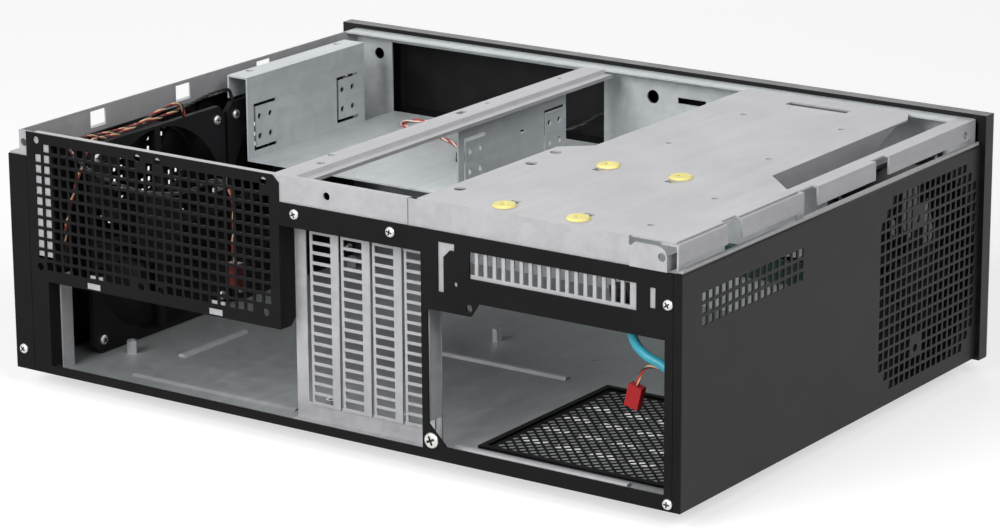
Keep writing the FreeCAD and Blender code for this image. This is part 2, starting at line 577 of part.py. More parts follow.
def fixing_pad(body, wall, reach):
    """Four-hole fixing pads in a bay wall, each with a C-shaped slit round it."""
    low = "pad_front_y - pad_wide / 2"
    high = "pad_front_y + pad_wide / 2"
    slit = new_sketch(body, "YZ", wall)
    loop(slit, [
        (low, "pad_high"), (high, "pad_high"), (high, "pad_low"), (low, "pad_low"), (low, "pad_low + pad_slit"),
        (f"{high} - pad_slit", "pad_low + pad_slit"), (f"{high} - pad_slit", "pad_high - pad_slit"),
        (low, "pad_high - pad_slit")])
    repeat(body, cut(body, slit, reach), slit, ("pad_pitch", 2))
    hole = new_sketch(body, "YZ", wall)
    ring(hole, "pad_front_y - pad_hole_pitch_y / 2", "pad_hole_z", "pad_hole")
    repeat(body, cut(body, hole, reach), hole, ("pad_pitch", 2), ("pad_hole_pitch_z", 2))
    spare = new_sketch(body, "YZ", wall)
    ring(spare, "pad_front_y + pad_hole_pitch_y / 2", "pad_hole_z", "pad_hole")
    repeat(body, cut(body, spare, reach), spare, ("pad_pitch", 2), ("pad_hole_pitch_z", 2))


def drive_bay():
    """Folded tray for a 5.25 inch drive, hung from the left rail and the centre bar."""
    body = new_body("drive_bay")
    section = new_sketch(body, "XZ", "bay_rear")
    lip = "(bay_left + skin + bay_flange)"
    loop(section, [
        (lip, "bay_lip"), (lip, "rim_top"), ("bay_left", "rim_top"), ("bay_left", "bay_floor"),
        ("bay_right", "bay_floor"), ("bay_right", "rim_top - skin"), ("bay_right - skin", "rim_top - skin"),
        ("bay_right - skin", "bay_floor - skin"), ("bay_left + skin", "bay_floor - skin"),
        ("bay_left + skin", "rim_top - skin"), (f"{lip} - skin", "rim_top - skin"), (f"{lip} - skin", "bay_lip")])
    pad(body, section, f"bay_rear - {BACK} - 1.2 * skin")
    ends = new_sketch(body, "XY", "rim_top")
    rect(ends, "bay_left - 1", f"{lip} + 1", f"{BACK}", "bay_front_left")
    rect(ends, "bay_right - 2", "bay_right + 1", f"{BACK}", "bay_front_right")
    cut(body, ends, "2 * (rim_top - bay_floor)")
    rounds = new_sketch(body, "XY", "rim_top")
    for along in ("-22", "-106"):
        ring(rounds, "bay_flange_hole_x", along, "bay_flange_hole")
    cut(body, rounds)
    lance = new_sketch(body, "YZ", "bay_right")
    rect(lance, "-71.5", "-66", "122.4", "124.4")
    cut(body, lance)
    fixing_pad(body, "bay_left", "6 * skin")
    fixing_pad(body, "bay_right", "6 * skin")


def grommet_places():
    return [(f"grommet_x - {column} * drive_spacing_x", f"grommet_y + {row} * drive_spacing_y")
            for column in (0, 1) for row in (0, 1)]


SIDE_HOLES = [("-66.3", "131.4"), ("-67.3", "68.4"), ("-65", "41.9")]


def drive_plate():
    body = new_body("drive_plate")
    notch = "(notch_right_y + 2 * notch_right_pitch)"
    plan = new_sketch(body, "XY", "rim_top")
    loop(plan, [
        ("plate_left", f"{REAR} - skin"), ("plate_left", "plate_step_y"),
        ("plate_step", "plate_step_y - plate_step_run"), ("plate_step", "plate_front"),
        ("plate_notch_front", "plate_front"), ("plate_cut", "plate_cut_front"), ("plate_cut", "plate_cut_rear"),
        ("plate_rear_right", "plate_cut_corner"), ("plate_right", "plate_cut_corner"),
        ("plate_right", notch), ("plate_right + plate_notch", notch),
        ("plate_right + plate_notch", f"{notch} + notch_right_wide"), ("plate_right", f"{notch} + notch_right_wide"),
        ("plate_right", f"{REAR} - 3 * skin"), ("skirt_corner", f"{REAR} - 3 * skin"),
        ("skirt_corner", f"{REAR} - skin")])
    for across, along in SIDE_HOLES:
        ring(plan, across, along, "side_hole")
    for across, along in grommet_places():
        ring(plan, across, along, "grommet_neck")
    for column in (0, 1):
        for row in (0, 1):
            ring(plan, f"ssd_x + {column} * ssd_spacing_x", f"ssd_y + {row} * ssd_spacing_y", "ssd_hole")
    for along in ("76", "136"):
        ring(plan, "edge_hole_x", along, "ssd_hole")
    rect(plan, "front_cut_right", "front_cut_left", "front_cut_y - front_cut_wide / 2",
         "front_cut_y + front_cut_wide / 2")
    pad(body, plan, "skin")
    keys = new_sketch(body, "XY", "rim_top")
    for row, step in ((0, "+"), (1, "-")):
        centre = f"(grommet_y + {row} * drive_spacing_y {step} (key_offset + key_wide / 2))"
        for column in (0, 1):
            rect(keys, f"grommet_x - {column} * drive_spacing_x - key_long / 2",
                 f"grommet_x - {column} * drive_spacing_x + key_long / 2",
                 f"{centre} - key_wide / 2", f"{centre} + key_wide / 2")
    cut(body, keys)
    flange = new_sketch(body, "XZ", f"{REAR} - skin")
    loop(flange, [
        ("plate_skirt_left", "plate_flange_low"), ("plate_skirt_left", "rim_top"), ("skirt_corner", "rim_top"),
        ("skirt_corner", "skirt_low"), ("plate_skirt_right", "skirt_low"), ("plate_skirt_right", "plate_flange_low")])
    pad(body, flange, "skin")
    lip = new_sketch(body, "YZ", "plate_left - skin")
    rect(lip, "plate_step_y + 6", f"{REAR} - 2 * skin", "plate_lip", "rim_top")
    pad(body, lip, "skin")
    cut_lip = new_sketch(body, "YZ", "plate_cut")
    loop(cut_lip, [
        ("cut_lip_front", "rim_top"), ("cut_lip_low_front", "plate_cut_lip"), ("cut_lip_rear", "plate_cut_lip"),
        ("cut_lip_rear", "rim_top")])
    pad(body, cut_lip, "skin")
    comb = new_sketch(body, "XZ", f"{REAR} - skin")
    rect(comb, "comb_right + 4.2", "comb_right + 4.2 + comb_slot", "comb_low + 2", "comb_high + 1")
    repeat(body, cut(body, comb), comb, ("comb_pitch", 18))


def drive_grommets():
    """Rubber spools pressed into the drive plate, each with a bore for a drive screw."""
    body = new_body("grommet_template", keep=False)
    section = new_sketch(body, "XZ", "0")
    low = "(-grommet_lip - 0.4)"
    loop(section, [
        ("grommet_hole", low), ("grommet_radius - 0.6", low), ("grommet_radius", "-0.4"), ("grommet_radius", "0"),
        ("grommet_neck", "0"), ("grommet_neck", "skin"), ("grommet_radius", "skin"),
        ("grommet_radius", "skin + 0.4"), ("grommet_radius - 0.8", "skin + grommet_lip"),
        ("grommet_hole", "skin + grommet_lip")])
    turn(body, section)
    copies("drive_grommets", body, [at(x, y, "rim_top") for x, y in grommet_places()])


def psu_filter():
    body = new_body("psu_filter")
    plan = new_sketch(body, "XY", FLOOR)
    rect(plan, "filter_right", "filter_left", "filter_front", "filter_rear")
    pad(body, plan, "filter_thick")
    hole = new_sketch(body, "XY", FLOOR)
    rect(hole, "filter_right + 4", "filter_right + 4 + filter_hole",
         "filter_front + 4", "filter_front + 4 + filter_hole")
    repeat(body, cut(body, hole), hole, ("filter_pitch_x", 8), ("filter_pitch_y", 7))


def standoffs():
    body = new_body("standoff_template", keep=False)
    plan = new_sketch(body, "XY", "0")
    loop(plan, [(f"standoff_radius * {math.cos(math.radians(60 * i)):.6f}",
                 f"standoff_radius * {math.sin(math.radians(60 * i)):.6f}") for i in range(6)])
    ring(plan, "0", "0", "standoff_hole")
    pad(body, plan, "standoff_high")
    columns = ["standoff_x", "standoff_x - standoff_step_x", "standoff_x - standoff_far_x"]
    middle = "standoff_rear_y - standoff_mid_step"
    places = [(x, y) for x in columns[:2] for y in (middle, f"{middle} - standoff_step_y")]
    places += [(x, "standoff_rear_y") for x in columns[1:]]
    places.append((columns[0], "standoff_rear_y - standoff_port_step"))
    copies("motherboard_standoffs", body, [at(x, y, FLOOR) for x, y in places])


def feet():
    places = [at(f"{hand}foot_x", y, "0") for hand in ("", "-") for y in ("foot_rear_y", "foot_front_y")]
    cup = new_body("foot_template", keep=False)
    section = new_sketch(cup, "XZ", "0")
    loop(section, [
        ("0", "foot_pad_high"), ("foot_pad_radius", "foot_pad_high"), ("foot_pad_radius", "1"),
        ("foot_radius - foot_taper", "1"), ("foot_radius", "foot_height - 2"), ("foot_radius", "foot_height"),
        ("0", "foot_height")])
    turn(cup, section)
    copies("feet", cup, places)
    disc = new_body("foot_pad_template", keep=False)
    section = new_sketch(disc, "XZ", "0")
    loop(section, [("0", "0"), ("foot_pad_radius - 0.6", "0"), ("foot_pad_radius", "0.6"),
                   ("foot_pad_radius", "foot_pad_high"), ("0", "foot_pad_high")])
    turn(disc, section)
    copies("foot_pads", disc, places)


def port_places():
    usb = ["usb_x", "usb_x - usb_pitch"]
    jacks = ["jack_x", "jack_x - jack_pitch"]
    return usb, jacks


def front_bezel():
    body = new_body("front_bezel")
    half = "case_width / 2"
    face = new_sketch(body, "XZ", BACK)
    rect(face, f"-{half}", half, "bezel_low", "case_height")
    block = pad(body, face, "bezel_depth")
    doc.recompute()
    front = size(FRONT)
    rim = [f"Edge{i}" for i, edge in enumerate(block.Shape.Edges, 1)
           if abs(edge.BoundBox.YMin - front) < 1e-6 and abs(edge.BoundBox.YMax - front) < 1e-6]
    rounded = body.newObject("PartDesign::Fillet", "rounded_front")
    rounded.Base = (block, rim)
    rounded.setExpression("Radius", bind("bezel_round"))
    hollow = new_sketch(body, "XZ", BACK)
    rect(hollow, f"bezel_rim - {half}", f"{half} - bezel_rim", "bezel_low + bezel_rim", "case_height - bezel_rim")
    cut(body, hollow, "2 * (bezel_depth - bezel_face)")
    openings = new_sketch(body, "XZ", FRONT)
    rect(openings, "door_right", "door_left", "door_low", "door_high")
    ring(openings, "power_x", "power_z", "power_radius + button_play")
    ring(openings, "reset_x", "power_z", "reset_radius + button_play")
    usb, jacks = port_places()
    for across in usb:
        rect(openings, f"{across} - usb_wide / 2 - port_play", f"{across} + usb_wide / 2 + port_play",
             "port_z - usb_high / 2 - port_play", "port_z + usb_high / 2 + port_play")
    for across in jacks:
        ring(openings, across, "port_z", "jack_radius + port_play")
    cut(body, openings, "4 * bezel_face")
    pivots = new_sketch(body, "YZ", "(door_left + door_right) / 2")
    ring(pivots, f"{FRONT} + bezel_face / 2", "door_low + door_pivot", "pin_radius + pin_play")
    cut(body, pivots, "door_left - door_right + 2 * pin_long + 0.6")
    stop = new_sketch(body, "YZ", "door_right")
    inner = f"({FRONT} + bezel_face)"
    loop(stop, [
        (inner, "door_low - 4"), (inner, "door_low"), (f"{inner} + 0.2", "door_low"),
        (f"{inner} + 0.2", "door_low + 2"), (f"{inner} + 2", "door_low + 2"), (f"{inner} + 2", "door_low - 4")])
    pad(body, stop, "door_left - door_right")


def drive_door():
    """Flap with a round lower edge, on two short pins in the sides of the bezel's window."""
    body = new_body("drive_door")
    axis_y = f"({FRONT} + bezel_face / 2)"
    axis_z = "(door_low + door_pivot)"
    left = "(door_left - door_play)"
    right = "(door_right + door_play)"
    flap = new_sketch(body, "YZ", right)
    rect(flap, f"{axis_y} - door_thick / 2", f"{axis_y} + door_thick / 2", axis_z, "door_high - door_play")
    pad(body, flap, f"{left} - {right}")
    heel = new_sketch(body, "YZ", right)
    ring(heel, axis_y, axis_z, "door_thick / 2")
    pad(body, heel, f"{left} - {right}")
    pins = new_sketch(body, "YZ", f"{right} - pin_long")
    ring(pins, axis_y, axis_z, "pin_radius")
    pad(body, pins, f"{left} - {right} + 2 * pin_long")


def button(label, across, radius):
    """Push cap with a flange that stops it behind the bezel's face, and a stem for its switch."""
    body = new_body(label)
    inner = f"({FRONT} + bezel_face + button_set)"
    flange = new_sketch(body, "XZ", f"{inner} + button_flange")
    ring(flange, across, "power_z", f"{radius} + 1.5")
    pad(body, flange, "button_flange")
    cap = new_sketch(body, "XZ", inner)
    ring(cap, across, "power_z", radius)
    pad(body, cap, f"{inner} - {FRONT} - button_set")
    stem = new_sketch(body, "XZ", f"{inner} + button_flange + stem_long")
    ring(stem, across, "power_z", "stem_radius")
    pad(body, stem, "stem_long")


def switches():
    """Push switches fixed to the front of the chassis panel, one behind each button."""
    body = new_body("switch_template", keep=False)
    base = new_sketch(body, "XZ", "0")
    rect(base, "-switch_wide / 2", "switch_wide / 2", "-switch_wide / 2", "switch_wide / 2")
    pad(body, base, "switch_deep - 1")
    top = new_sketch(body, "XZ", "1 - switch_deep")
    ring(top, "0", "0", "stem_radius")
    pad(body, top, "1")
    copies("panel_switches", body, [at(x, BACK, "power_z") for x in ("power_x", "reset_x")])


def front_ports():
    usb, jacks = port_places()
    board_y = f"({BACK} + skin + board_thick + 4)"
    deep = f"({board_y} - board_thick - {FRONT} - port_set)"
    board = new_body("port_board")
    face = new_sketch(board, "XZ", board_y)
    rect(face, "board_right + 6", "board_left - 6", "board_low + 3", "board_high - 3")
    pad(board, face, "board_thick")
    posts = new_sketch(board, "XZ", board_y)
    for across in ("board_right", "board_left - 8"):
        rect(posts, across, f"{across} + 8", "board_high - 3", "board_high")
    pad(board, posts, f"{board_y} - {BACK} - skin")

    shell = new_body("usb_template", keep=False)
    outer = new_sketch(shell, "XZ", "0")
    rect(outer, "-usb_wide / 2", "usb_wide / 2", "-usb_high / 2", "usb_high / 2")
    pad(shell, outer, deep)
    mouth = new_sketch(shell, "XZ", f"-{deep}")
    rect(mouth, "usb_wall - usb_wide / 2", "usb_wide / 2 - usb_wall", "usb_wall - usb_high / 2",
         "usb_high / 2 - usb_wall")
    cut(shell, mouth, f"2 * ({deep} - 3)")
    tongue = new_sketch(shell, "XZ", "-2")
    rect(tongue, "1.4 - usb_wide / 2", "usb_wide / 2 - 1.4", "0.3", "2.0")
    pad(shell, tongue, f"{deep} - 3.5")
    copies("usb_sockets", shell, [at(x, f"{board_y} - board_thick", "port_z") for x in usb])

    jack = new_body("jack_template", keep=False)
    round_face = new_sketch(jack, "XZ", "0")
    ring(round_face, "0", "0", "jack_radius")
    ring(round_face, "0", "0", "jack_hole")
    pad(jack, round_face, deep)
    copies("audio_jacks", jack, [at(x, f"{board_y} - board_thick", "port_z") for x in jacks])


def fan_frame_template():
    """Axial fan frame, axis along Z: round duct, two flanges with cut corners, motor plate on struts."""
    body = new_body("fan_frame_template", keep=False)
    half = "(fan_size / 2)"
    corner = f"({half} - fan_corner)"
    outline = [(half, f"-{corner}"), (half, corner), (corner, half), (f"-{corner}", half), (f"-{half}", corner),
               (f"-{half}", f"-{corner}"), (f"-{corner}", f"-{half}"), (corner, f"-{half}")]
    duct = new_sketch(body, "XY", "0")
    ring(duct, "0", "0", "fan_bore + fan_wall")
    ring(duct, "0", "0", "fan_bore")
    pad(body, duct, "fan_depth")
    for level in ("0", "fan_depth - fan_flange"):
        flange = new_sketch(body, "XY", level)
        loop(flange, outline)
        ring(flange, "0", "0", "fan_bore")
        for across in ("-", ""):
            for up in ("-", ""):
                ring(flange, f"{across}fan_hole_spacing / 2", f"{up}fan_hole_spacing / 2", "fan_hole")
        pad(body, flange, "fan_flange")
    for along in (True, False):
        strut = new_sketch(body, "XY", "0")
        long_sides = ("-fan_bore - 0.5", "fan_bore + 0.5")
        short_sides = ("-strut_width / 2", "strut_width / 2")
        rect(strut, *(long_sides + short_sides if along else short_sides + long_sides))
        pad(body, strut, "motor_plate")
    motor = new_sketch(body, "XY", "0")
    ring(motor, "0", "0", "motor_radius")
    pad(body, motor, "motor_plate")
    bearing = new_sketch(body, "XY", "0")
    ring(bearing, "0", "0", "shaft_radius + shaft_play")
    cut(body, bearing, "4 * motor_plate")
    return body


def blade(start_deg):
    """Wide fan blade, lofted through sections that flatten and sweep from the hub to the tip."""
    sections = []
    root = size("hub_radius - 1.5")
    tip = size("blade_tip + 2")
    thick = size("blade_thick")
    middle = size("motor_plate + hub_gap + hub_height / 2")
    for share, pitch_deg, chord, sweep_deg in ((0, 48, 19, 0), (0.5, 24, 32, 9), (1, 14, 44, 21)):
        radius = root + share * (tip - root)
        angle = math.radians(start_deg + sweep_deg)
        radial = FreeCAD.Vector(math.cos(angle), math.sin(angle), 0)
        tangent = FreeCAD.Vector(-math.sin(angle), math.cos(angle), 0)
        pitch = math.radians(pitch_deg)
        along = tangent * math.cos(pitch) + FreeCAD.Vector(0, 0, 1) * math.sin(pitch)
        across = tangent * -math.sin(pitch) + FreeCAD.Vector(0, 0, 1) * math.cos(pitch)
        centre = radial * radius + FreeCAD.Vector(0, 0, middle)
        corners = [centre + along * (a * chord / 2) + across * (b * thick / 2)
                   for a, b in ((-1, -1), (1, -1), (1, 1), (-1, 1))]
        sections.append(Part.makePolygon(corners + corners[:1]))
    return Part.makeLoft(sections, True, True)


def fan_rotor_template():
    """Hub cup with swept blades and the shaft that turns in the motor plate, axis along Z."""
    body = new_body("fan_hub_template", keep=False)
    section = new_sketch(body, "XZ", "0")
    low = "(motor_plate + hub_gap)"
    high = "(motor_plate + hub_gap + hub_height)"
    loop(section, [
        ("0", "0.4"), ("shaft_radius", "0.4"), ("shaft_radius", low), ("hub_radius", low),
        ("hub_radius", f"{high} - 2.5"), ("hub_radius - 2.5", high), ("0", high)])
    turn(body, section)
    doc.recompute()
    rotor = doc.addObject("Part::Feature", "fan_rotor_template")
    sweep = Part.makeCylinder(size("blade_tip"), size("fan_depth"))
    rotor.Shape = body.Shape.fuse([blade(40 * i) for i in range(9)]).common(sweep)
    return rotor


FANS = [("a", "fan_a_y", 1), ("b", "fan_b_y", 1), ("c", "fan_c_y", -1)]


def fan_place(centre_y, hand):
    """Fan against a side wall, its motor plate towards the inside of the case."""
    inner = f"({FAN_INSET} - fan_depth)"
    if hand > 0:
        return at(inner, centre_y, "fan_level", (0, 1, 0), 90)
    return at(f"-{inner}", centre_y, "fan_level", (0, 1, 0), -90)


def fans():
    frame = fan_frame_template()
    rotor = fan_rotor_template()
    for name, centre_y, hand in FANS:
        copies(f"fan_frame_{name}", frame, [fan_place(centre_y, hand)])
        copies(f"fan_rotor_{name}", rotor, [fan_place(centre_y, hand)])


def screw_template(name, radius):
    """Pan-head screw, its head on +Z and its shank below."""
    body = new_body(name, keep=False)
    section = new_sketch(body, "XZ", "0")
    loop(section, [
        ("0", "-shank_long"), ("shank_radius", "-shank_long"), ("shank_radius", "0"), (radius, "0"),
        (radius, "0.5 * head_high"), (f"{radius} - 0.9", "head_high"), ("0", "head_high")])
    turn(body, section)
    return body


def rear_screws():
    """Pan-head screws of the rear panel and of the slot covers."""
    small = screw_template("screw_template", "head_radius")
    copies("panel_screws", small, [facing_rear(x, REAR, z) for x, z in REAR_SCREWS + [SIDE_SCREW]])
    big = screw_template("big_screw_template", "big_head_radius")
    copies("psu_corner_screw", big, [facing_rear(BIG_SCREW[0], REAR, BIG_SCREW[1])])
    covers = [f"slot_left - {number + 0.5} * slot_pitch" for number in range(4)]
    copies("slot_screws", small, [at(x, f"{SLOT_PLANE} + skin + tab_depth / 2", "cover_high") for x in covers])


def fan_screws():
    """Self-tapping screws on the inner flange of every fan."""
    small = screw_template("fan_screw_template", "head_radius")
    places = []
    for name, centre_y, hand in FANS:
        inner = f"({FAN_INSET} - fan_depth)"
        for along in ("-", "+"):
            for up in ("-", "+"):
                x = inner if hand > 0 else f"-{inner}"
                places.append(at(x, f"{centre_y} {along} fan_hole_spacing / 2",
                                 f"fan_level {up} fan_hole_spacing / 2", (0, 1, 0), -90 * hand))
    copies("fan_screws", small, places)


FAN_LEAD_A = [
    (192.7, 38, 132.5), (192.7, 38, 138), (192.7, 44, 141.8), (193, 60, 140), (193, 76, 136), (192.8, 94, 134),
    (190.5, 111, 135.5), (184, 126, 139), (178, 137, 139), (175, 146, 131), (177, 150, 119), (181, 151, 106),
    (185, 150.5, 94), (187, 149.5, 84)]
FAN_LEAD_B = [
    (192.7, -5.6, 132.5), (192.7, -5.6, 138), (193, 0.4, 141.5), (195, 16, 139.5), (198, 32, 135.5), (198.8, 50, 133.8),
    (199.2, 70, 133.6), (198.8, 90, 133.9), (198.4, 107, 135), (197, 122, 137), (192, 137, 138.5), (182, 148, 136),
    (166, 153, 130), (148, 153, 125), (128, 152, 122.5), (108, 151, 124), (94, 150.5, 128.5), (84, 150.8, 134.5),
    (76, 151, 137.2), (69.5, 150.6, 134.2), (67.5, 149.8, 126), (68, 149, 114), (69, 149.4, 103), (68.5, 149.2, 92)]
BAY_LEAD = [
    (14, -150.1, 121), (24, -150.1, 121), (36, -152, 115.5), (46, -152, 108.5), (57, -149, 104), (69, -143, 101),
    (83, -138, 100.3), (99, -135.5, 100.3), (117, -134.5, 100.3), (134, -135, 100.3), (148, -134.5, 100.3),
    (157, -130, 100.3), (158, -122, 100.3), (150, -116, 100.3), (137, -113, 100.3), (121, -108.5, 100.3),
    (105, -101, 100.3), (92, -91.5, 100.3), (84, -80, 100.3)]
PORT_CABLE = [
    (-140, -142.25, 44), (-140, -130, 44), (-147, -116, 40), (-158, -102, 32), (-170, -86, 22.5), (-179, -67, 16.4),
    (-183, -45, 14.8), (-186, -23, 15), (-194, -3, 17), (-205, 15, 17.4), (-210.5, 36, 15.6), (-211.5, 60, 14.8),
    (-211, 86, 14.8), (-211.5, 110, 16), (-211, 129, 24), (-210.5, 139, 40), (-210, 146, 62), (-208, 147, 74),
    (-200.5, 147.6, 82), (-189, 148.1, 85), (-181.5, 149, 93.5), (-180, 150, 106)]
PLUG_LEAD = [
    (-206.8, 145.8, 75.2), (-200.5, 143, 78.2), (-193.5, 142.3, 78.6), (-187, 142, 77.6), (-182.6, 142, 73.6),
    (-181, 142, 66.8)]


def tube(label, route, diameter):
    """Cord solid: straight runs joined by tangent arcs as large as their two runs allow."""
    spots = [FreeCAD.Vector(*spot) for spot in route]
    edges = []
    radii = []
    reach = spots[0]
    for before, corner, after in zip(spots, spots[1:], spots[2:]):
        back = (before - corner).normalize()
        ahead = (after - corner).normalize()
        turned = math.pi - back.getAngle(ahead)
        setback = 0.45 * min((before - corner).Length, (after - corner).Length)
        radii.append(setback / math.tan(turned / 2))
        start = corner + back * setback
        end = corner + ahead * setback
        bisector = (back + ahead).normalize()
        centre = corner + bisector * (radii[-1] / math.cos(turned / 2))
        middle = centre - bisector * radii[-1]
        edges.append(Part.LineSegment(reach, start).toShape())
        edges.append(Part.Arc(start, middle, end).toShape())
        reach = end
    edges.append(Part.LineSegment(reach, spots[-1]).toShape())
    path = Part.Wire(edges)
    radius = size(diameter) / 2
    disc = Part.Face(Part.Wire(Part.makeCircle(radius, spots[0], spots[1] - spots[0])))
    piece = doc.addObject("Part::Feature", label)
    piece.Label = label
    piece.Shape = path.makePipe(disc)
    pieces.append(piece)
    expected = math.pi * radius ** 2 * path.Length
    print(f"{label}: {path.Length:.1f} mm long, tightest radius {min(radii):.1f} mm, "
          f"volume {piece.Shape.Volume / expected:.3f} of section times length")


def plug(label, route, wide, deep, long):
    """Moulded connector on the end of a cord, in line with its last run and flat side level."""
    end = FreeCAD.Vector(*route[-1])
    direction = (end - FreeCAD.Vector(*route[-2])).normalize()
    body = new_body(label)
    section = new_sketch(body, "XY", "0")
    rect(section, f"-{wide} / 2", f"{wide} / 2", f"-{deep} / 2", f"{deep} / 2")
    pad(body, section, long)
    rib = new_sketch(body, "XY", "1")
    rect(rib, f"-{wide} / 4", f"{wide} / 4", f"{deep} / 2 - 0.2", f"{deep} / 2 + 0.9")
    pad(body, rib, f"{long} - 3")
    across = FreeCAD.Vector(0, 0, 1).cross(direction)
    if across.Length < 0.5:
        across = FreeCAD.Vector(1, 0, 0)
    body.Placement = FreeCAD.Placement(end, FreeCAD.Rotation(across, FreeCAD.Vector(), direction, "ZXY"))


def cords():
    tube("fan_lead_a", FAN_LEAD_A, "fan_cord")
    plug("fan_plug_a", FAN_LEAD_A, 8, 5.5, 13)
    tube("fan_lead_b", FAN_LEAD_B, "fan_cord")
    plug("fan_plug_b", FAN_LEAD_B, 8, 5.5, 13)
    tube("bay_lead", BAY_LEAD, "bay_cord")
    plug("bay_plug", BAY_LEAD, 5, 2.4, 13)
    tube("port_cable", PORT_CABLE, "port_cord")
    plug("port_plug", PORT_CABLE, 13, 6, 15)
    tube("plug_lead", PLUG_LEAD, "plug_cord")
    plug("red_plug", PLUG_LEAD, 8, 4.5, 12)


def cable_tie():
    """Nylon tie that holds the end of the front-port cable against the comb of the drive plate."""
    body = new_body("cable_tie")
    band = new_sketch(body, "XY", "tie_z")
    rect(band, "tie_x - tie_wide / 2", "tie_x + tie_wide / 2", "tie_y", f"{REAR} - 2 * skin")
    rect(band, "tie_x - tie_wide / 2 + skin", "tie_x + tie_wide / 2 - skin", "tie_y + skin", f"{REAR} - 3 * skin")
    pad(body, band, "tie_high")


floor_pan()
side_panels()
rear_panel()
rear_post()
rear_vent_plate()
vent_plate_clips()
lead_hook()
slot_frame()
for cover_number in range(1, 5):
    slot_cover(cover_number)
front_panel()
top_rail_left()
top_rail_right()
top_rail_rear()
rear_corner_bracket()
centre_bar()
drive_bay()
drive_plate()
drive_grommets()
psu_filter()
standoffs()
feet()
front_bezel()
drive_door()
button("power_button", "power_x", "power_radius")
button("reset_button", "reset_x", "reset_radius")
switches()
front_ports()
fans()
rear_screws()
fan_screws()
cords()
cable_tie()
doc.recompute()

failed = [item.Name for item in doc.Objects if "Invalid" in item.State or "Error" in item.State]
if failed:
    raise RuntimeError("objects that failed: " + ", ".join(failed))
for piece in pieces:
    if piece.Shape.isNull() or not piece.Shape.isValid() or piece.Shape.Volume <= 0:
        raise RuntimeError("no sound shape: " + piece.Label)

os.makedirs("parts", exist_ok=True)
for piece in pieces:
    piece.Shape.exportStep(f"parts/{piece.Label}.step")
print(len(pieces), "sub-parts written")
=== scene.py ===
"""Low desktop case for a home theatre computer, cover off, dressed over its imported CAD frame."""
import math

import bpy
from mathutils import Matrix, Vector


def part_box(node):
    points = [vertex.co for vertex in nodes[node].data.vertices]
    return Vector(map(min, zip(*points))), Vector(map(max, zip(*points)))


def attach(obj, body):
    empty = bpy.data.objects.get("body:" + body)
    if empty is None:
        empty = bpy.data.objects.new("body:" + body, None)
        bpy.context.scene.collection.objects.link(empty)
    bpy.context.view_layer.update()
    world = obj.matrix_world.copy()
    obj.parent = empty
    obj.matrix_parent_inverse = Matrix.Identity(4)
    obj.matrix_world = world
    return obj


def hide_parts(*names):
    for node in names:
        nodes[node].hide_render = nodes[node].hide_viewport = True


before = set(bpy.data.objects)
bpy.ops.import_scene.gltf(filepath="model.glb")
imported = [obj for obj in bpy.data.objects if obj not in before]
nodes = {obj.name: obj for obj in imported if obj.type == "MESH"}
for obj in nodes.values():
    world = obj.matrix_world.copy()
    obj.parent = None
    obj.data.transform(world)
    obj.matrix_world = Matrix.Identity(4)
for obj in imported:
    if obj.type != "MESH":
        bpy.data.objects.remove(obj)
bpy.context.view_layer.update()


# The view: the case is seen from behind, a little from above and from its power supply side,
# through a long lens that keeps its edges nearly parallel.
MM = 0.001
azimuth, elevation, roll = (math.radians(angle) for angle in (214.863, 16.064, -0.355))
aim = Vector((0, -0.85, 76)) * MM
aim_in_view = Vector((1.008, 10.067, -2064.989)) * MM
picture_wide, focal_length = 1000, 3736.02  # in pixels
sensor_wide = 36


def link(obj):
    """Puts an object in the scene."""
    bpy.context.scene.collection.objects.link(obj)
    return obj


back = Vector((math.sin(azimuth) * math.cos(elevation), -math.cos(azimuth) * math.cos(elevation),
               math.sin(elevation)))
level_right = Vector((0, 0, 1)).cross(back).normalized()
level_up = back.cross(level_right)
right = math.cos(roll) * level_right + math.sin(roll) * level_up
up = math.cos(roll) * level_up - math.sin(roll) * level_right
turn = Matrix((right, up, back)).transposed()
lens = bpy.data.cameras.new("view")
lens.sensor_fit = "HORIZONTAL"
lens.sensor_width = sensor_wide
lens.lens = sensor_wide * focal_length / picture_wide
lens.clip_start = 50 * MM
camera = link(bpy.data.objects.new("view", lens))
camera.matrix_world = Matrix.Translation(aim - turn @ aim_in_view) @ turn.to_4x4()
bpy.context.scene.camera = camera
bpy.context.scene.view_settings.view_transform = "Standard"


# The studio: a broad pale floor and a white surround, which metal shows as the camera does, and
# three soft boxes behind, beside and in front, at a level where a colour renders about as written.
white = (1, 1, 1, 1)
floor_half = 6.0
floor_colour, floor_glow_strength = (0.55, 0.55, 0.55, 1), 0.55
surround_light, surround_shown = 0.17, 1.0
lamp_aim = Vector((0, 0, 0.08))
soft_boxes = (  # name, place and size in metres, watts
    ("rear_box", (0.2, 2.25, 1.3), 1.2, 58),
    ("side_box", (-1.9, 0.9, 1.6), 1.2, 32),
    ("front_box", (1.2, -1.6, 1.3), 1.5, 10))


def background_rays(tree):
    """1 on rays that show the background, from the camera, in metal and through glass, else 0."""
    path = tree.nodes.new("ShaderNodeLightPath")
    shown = path.outputs["Is Camera Ray"]
    for kind in ("Is Glossy Ray", "Is Transmission Ray"):
        either = tree.nodes.new("ShaderNodeMath")
        either.operation = "MAXIMUM"
        tree.links.new(shown, either.inputs[0])
        tree.links.new(path.outputs[kind], either.inputs[1])
        shown = either.outputs[0]
    return shown


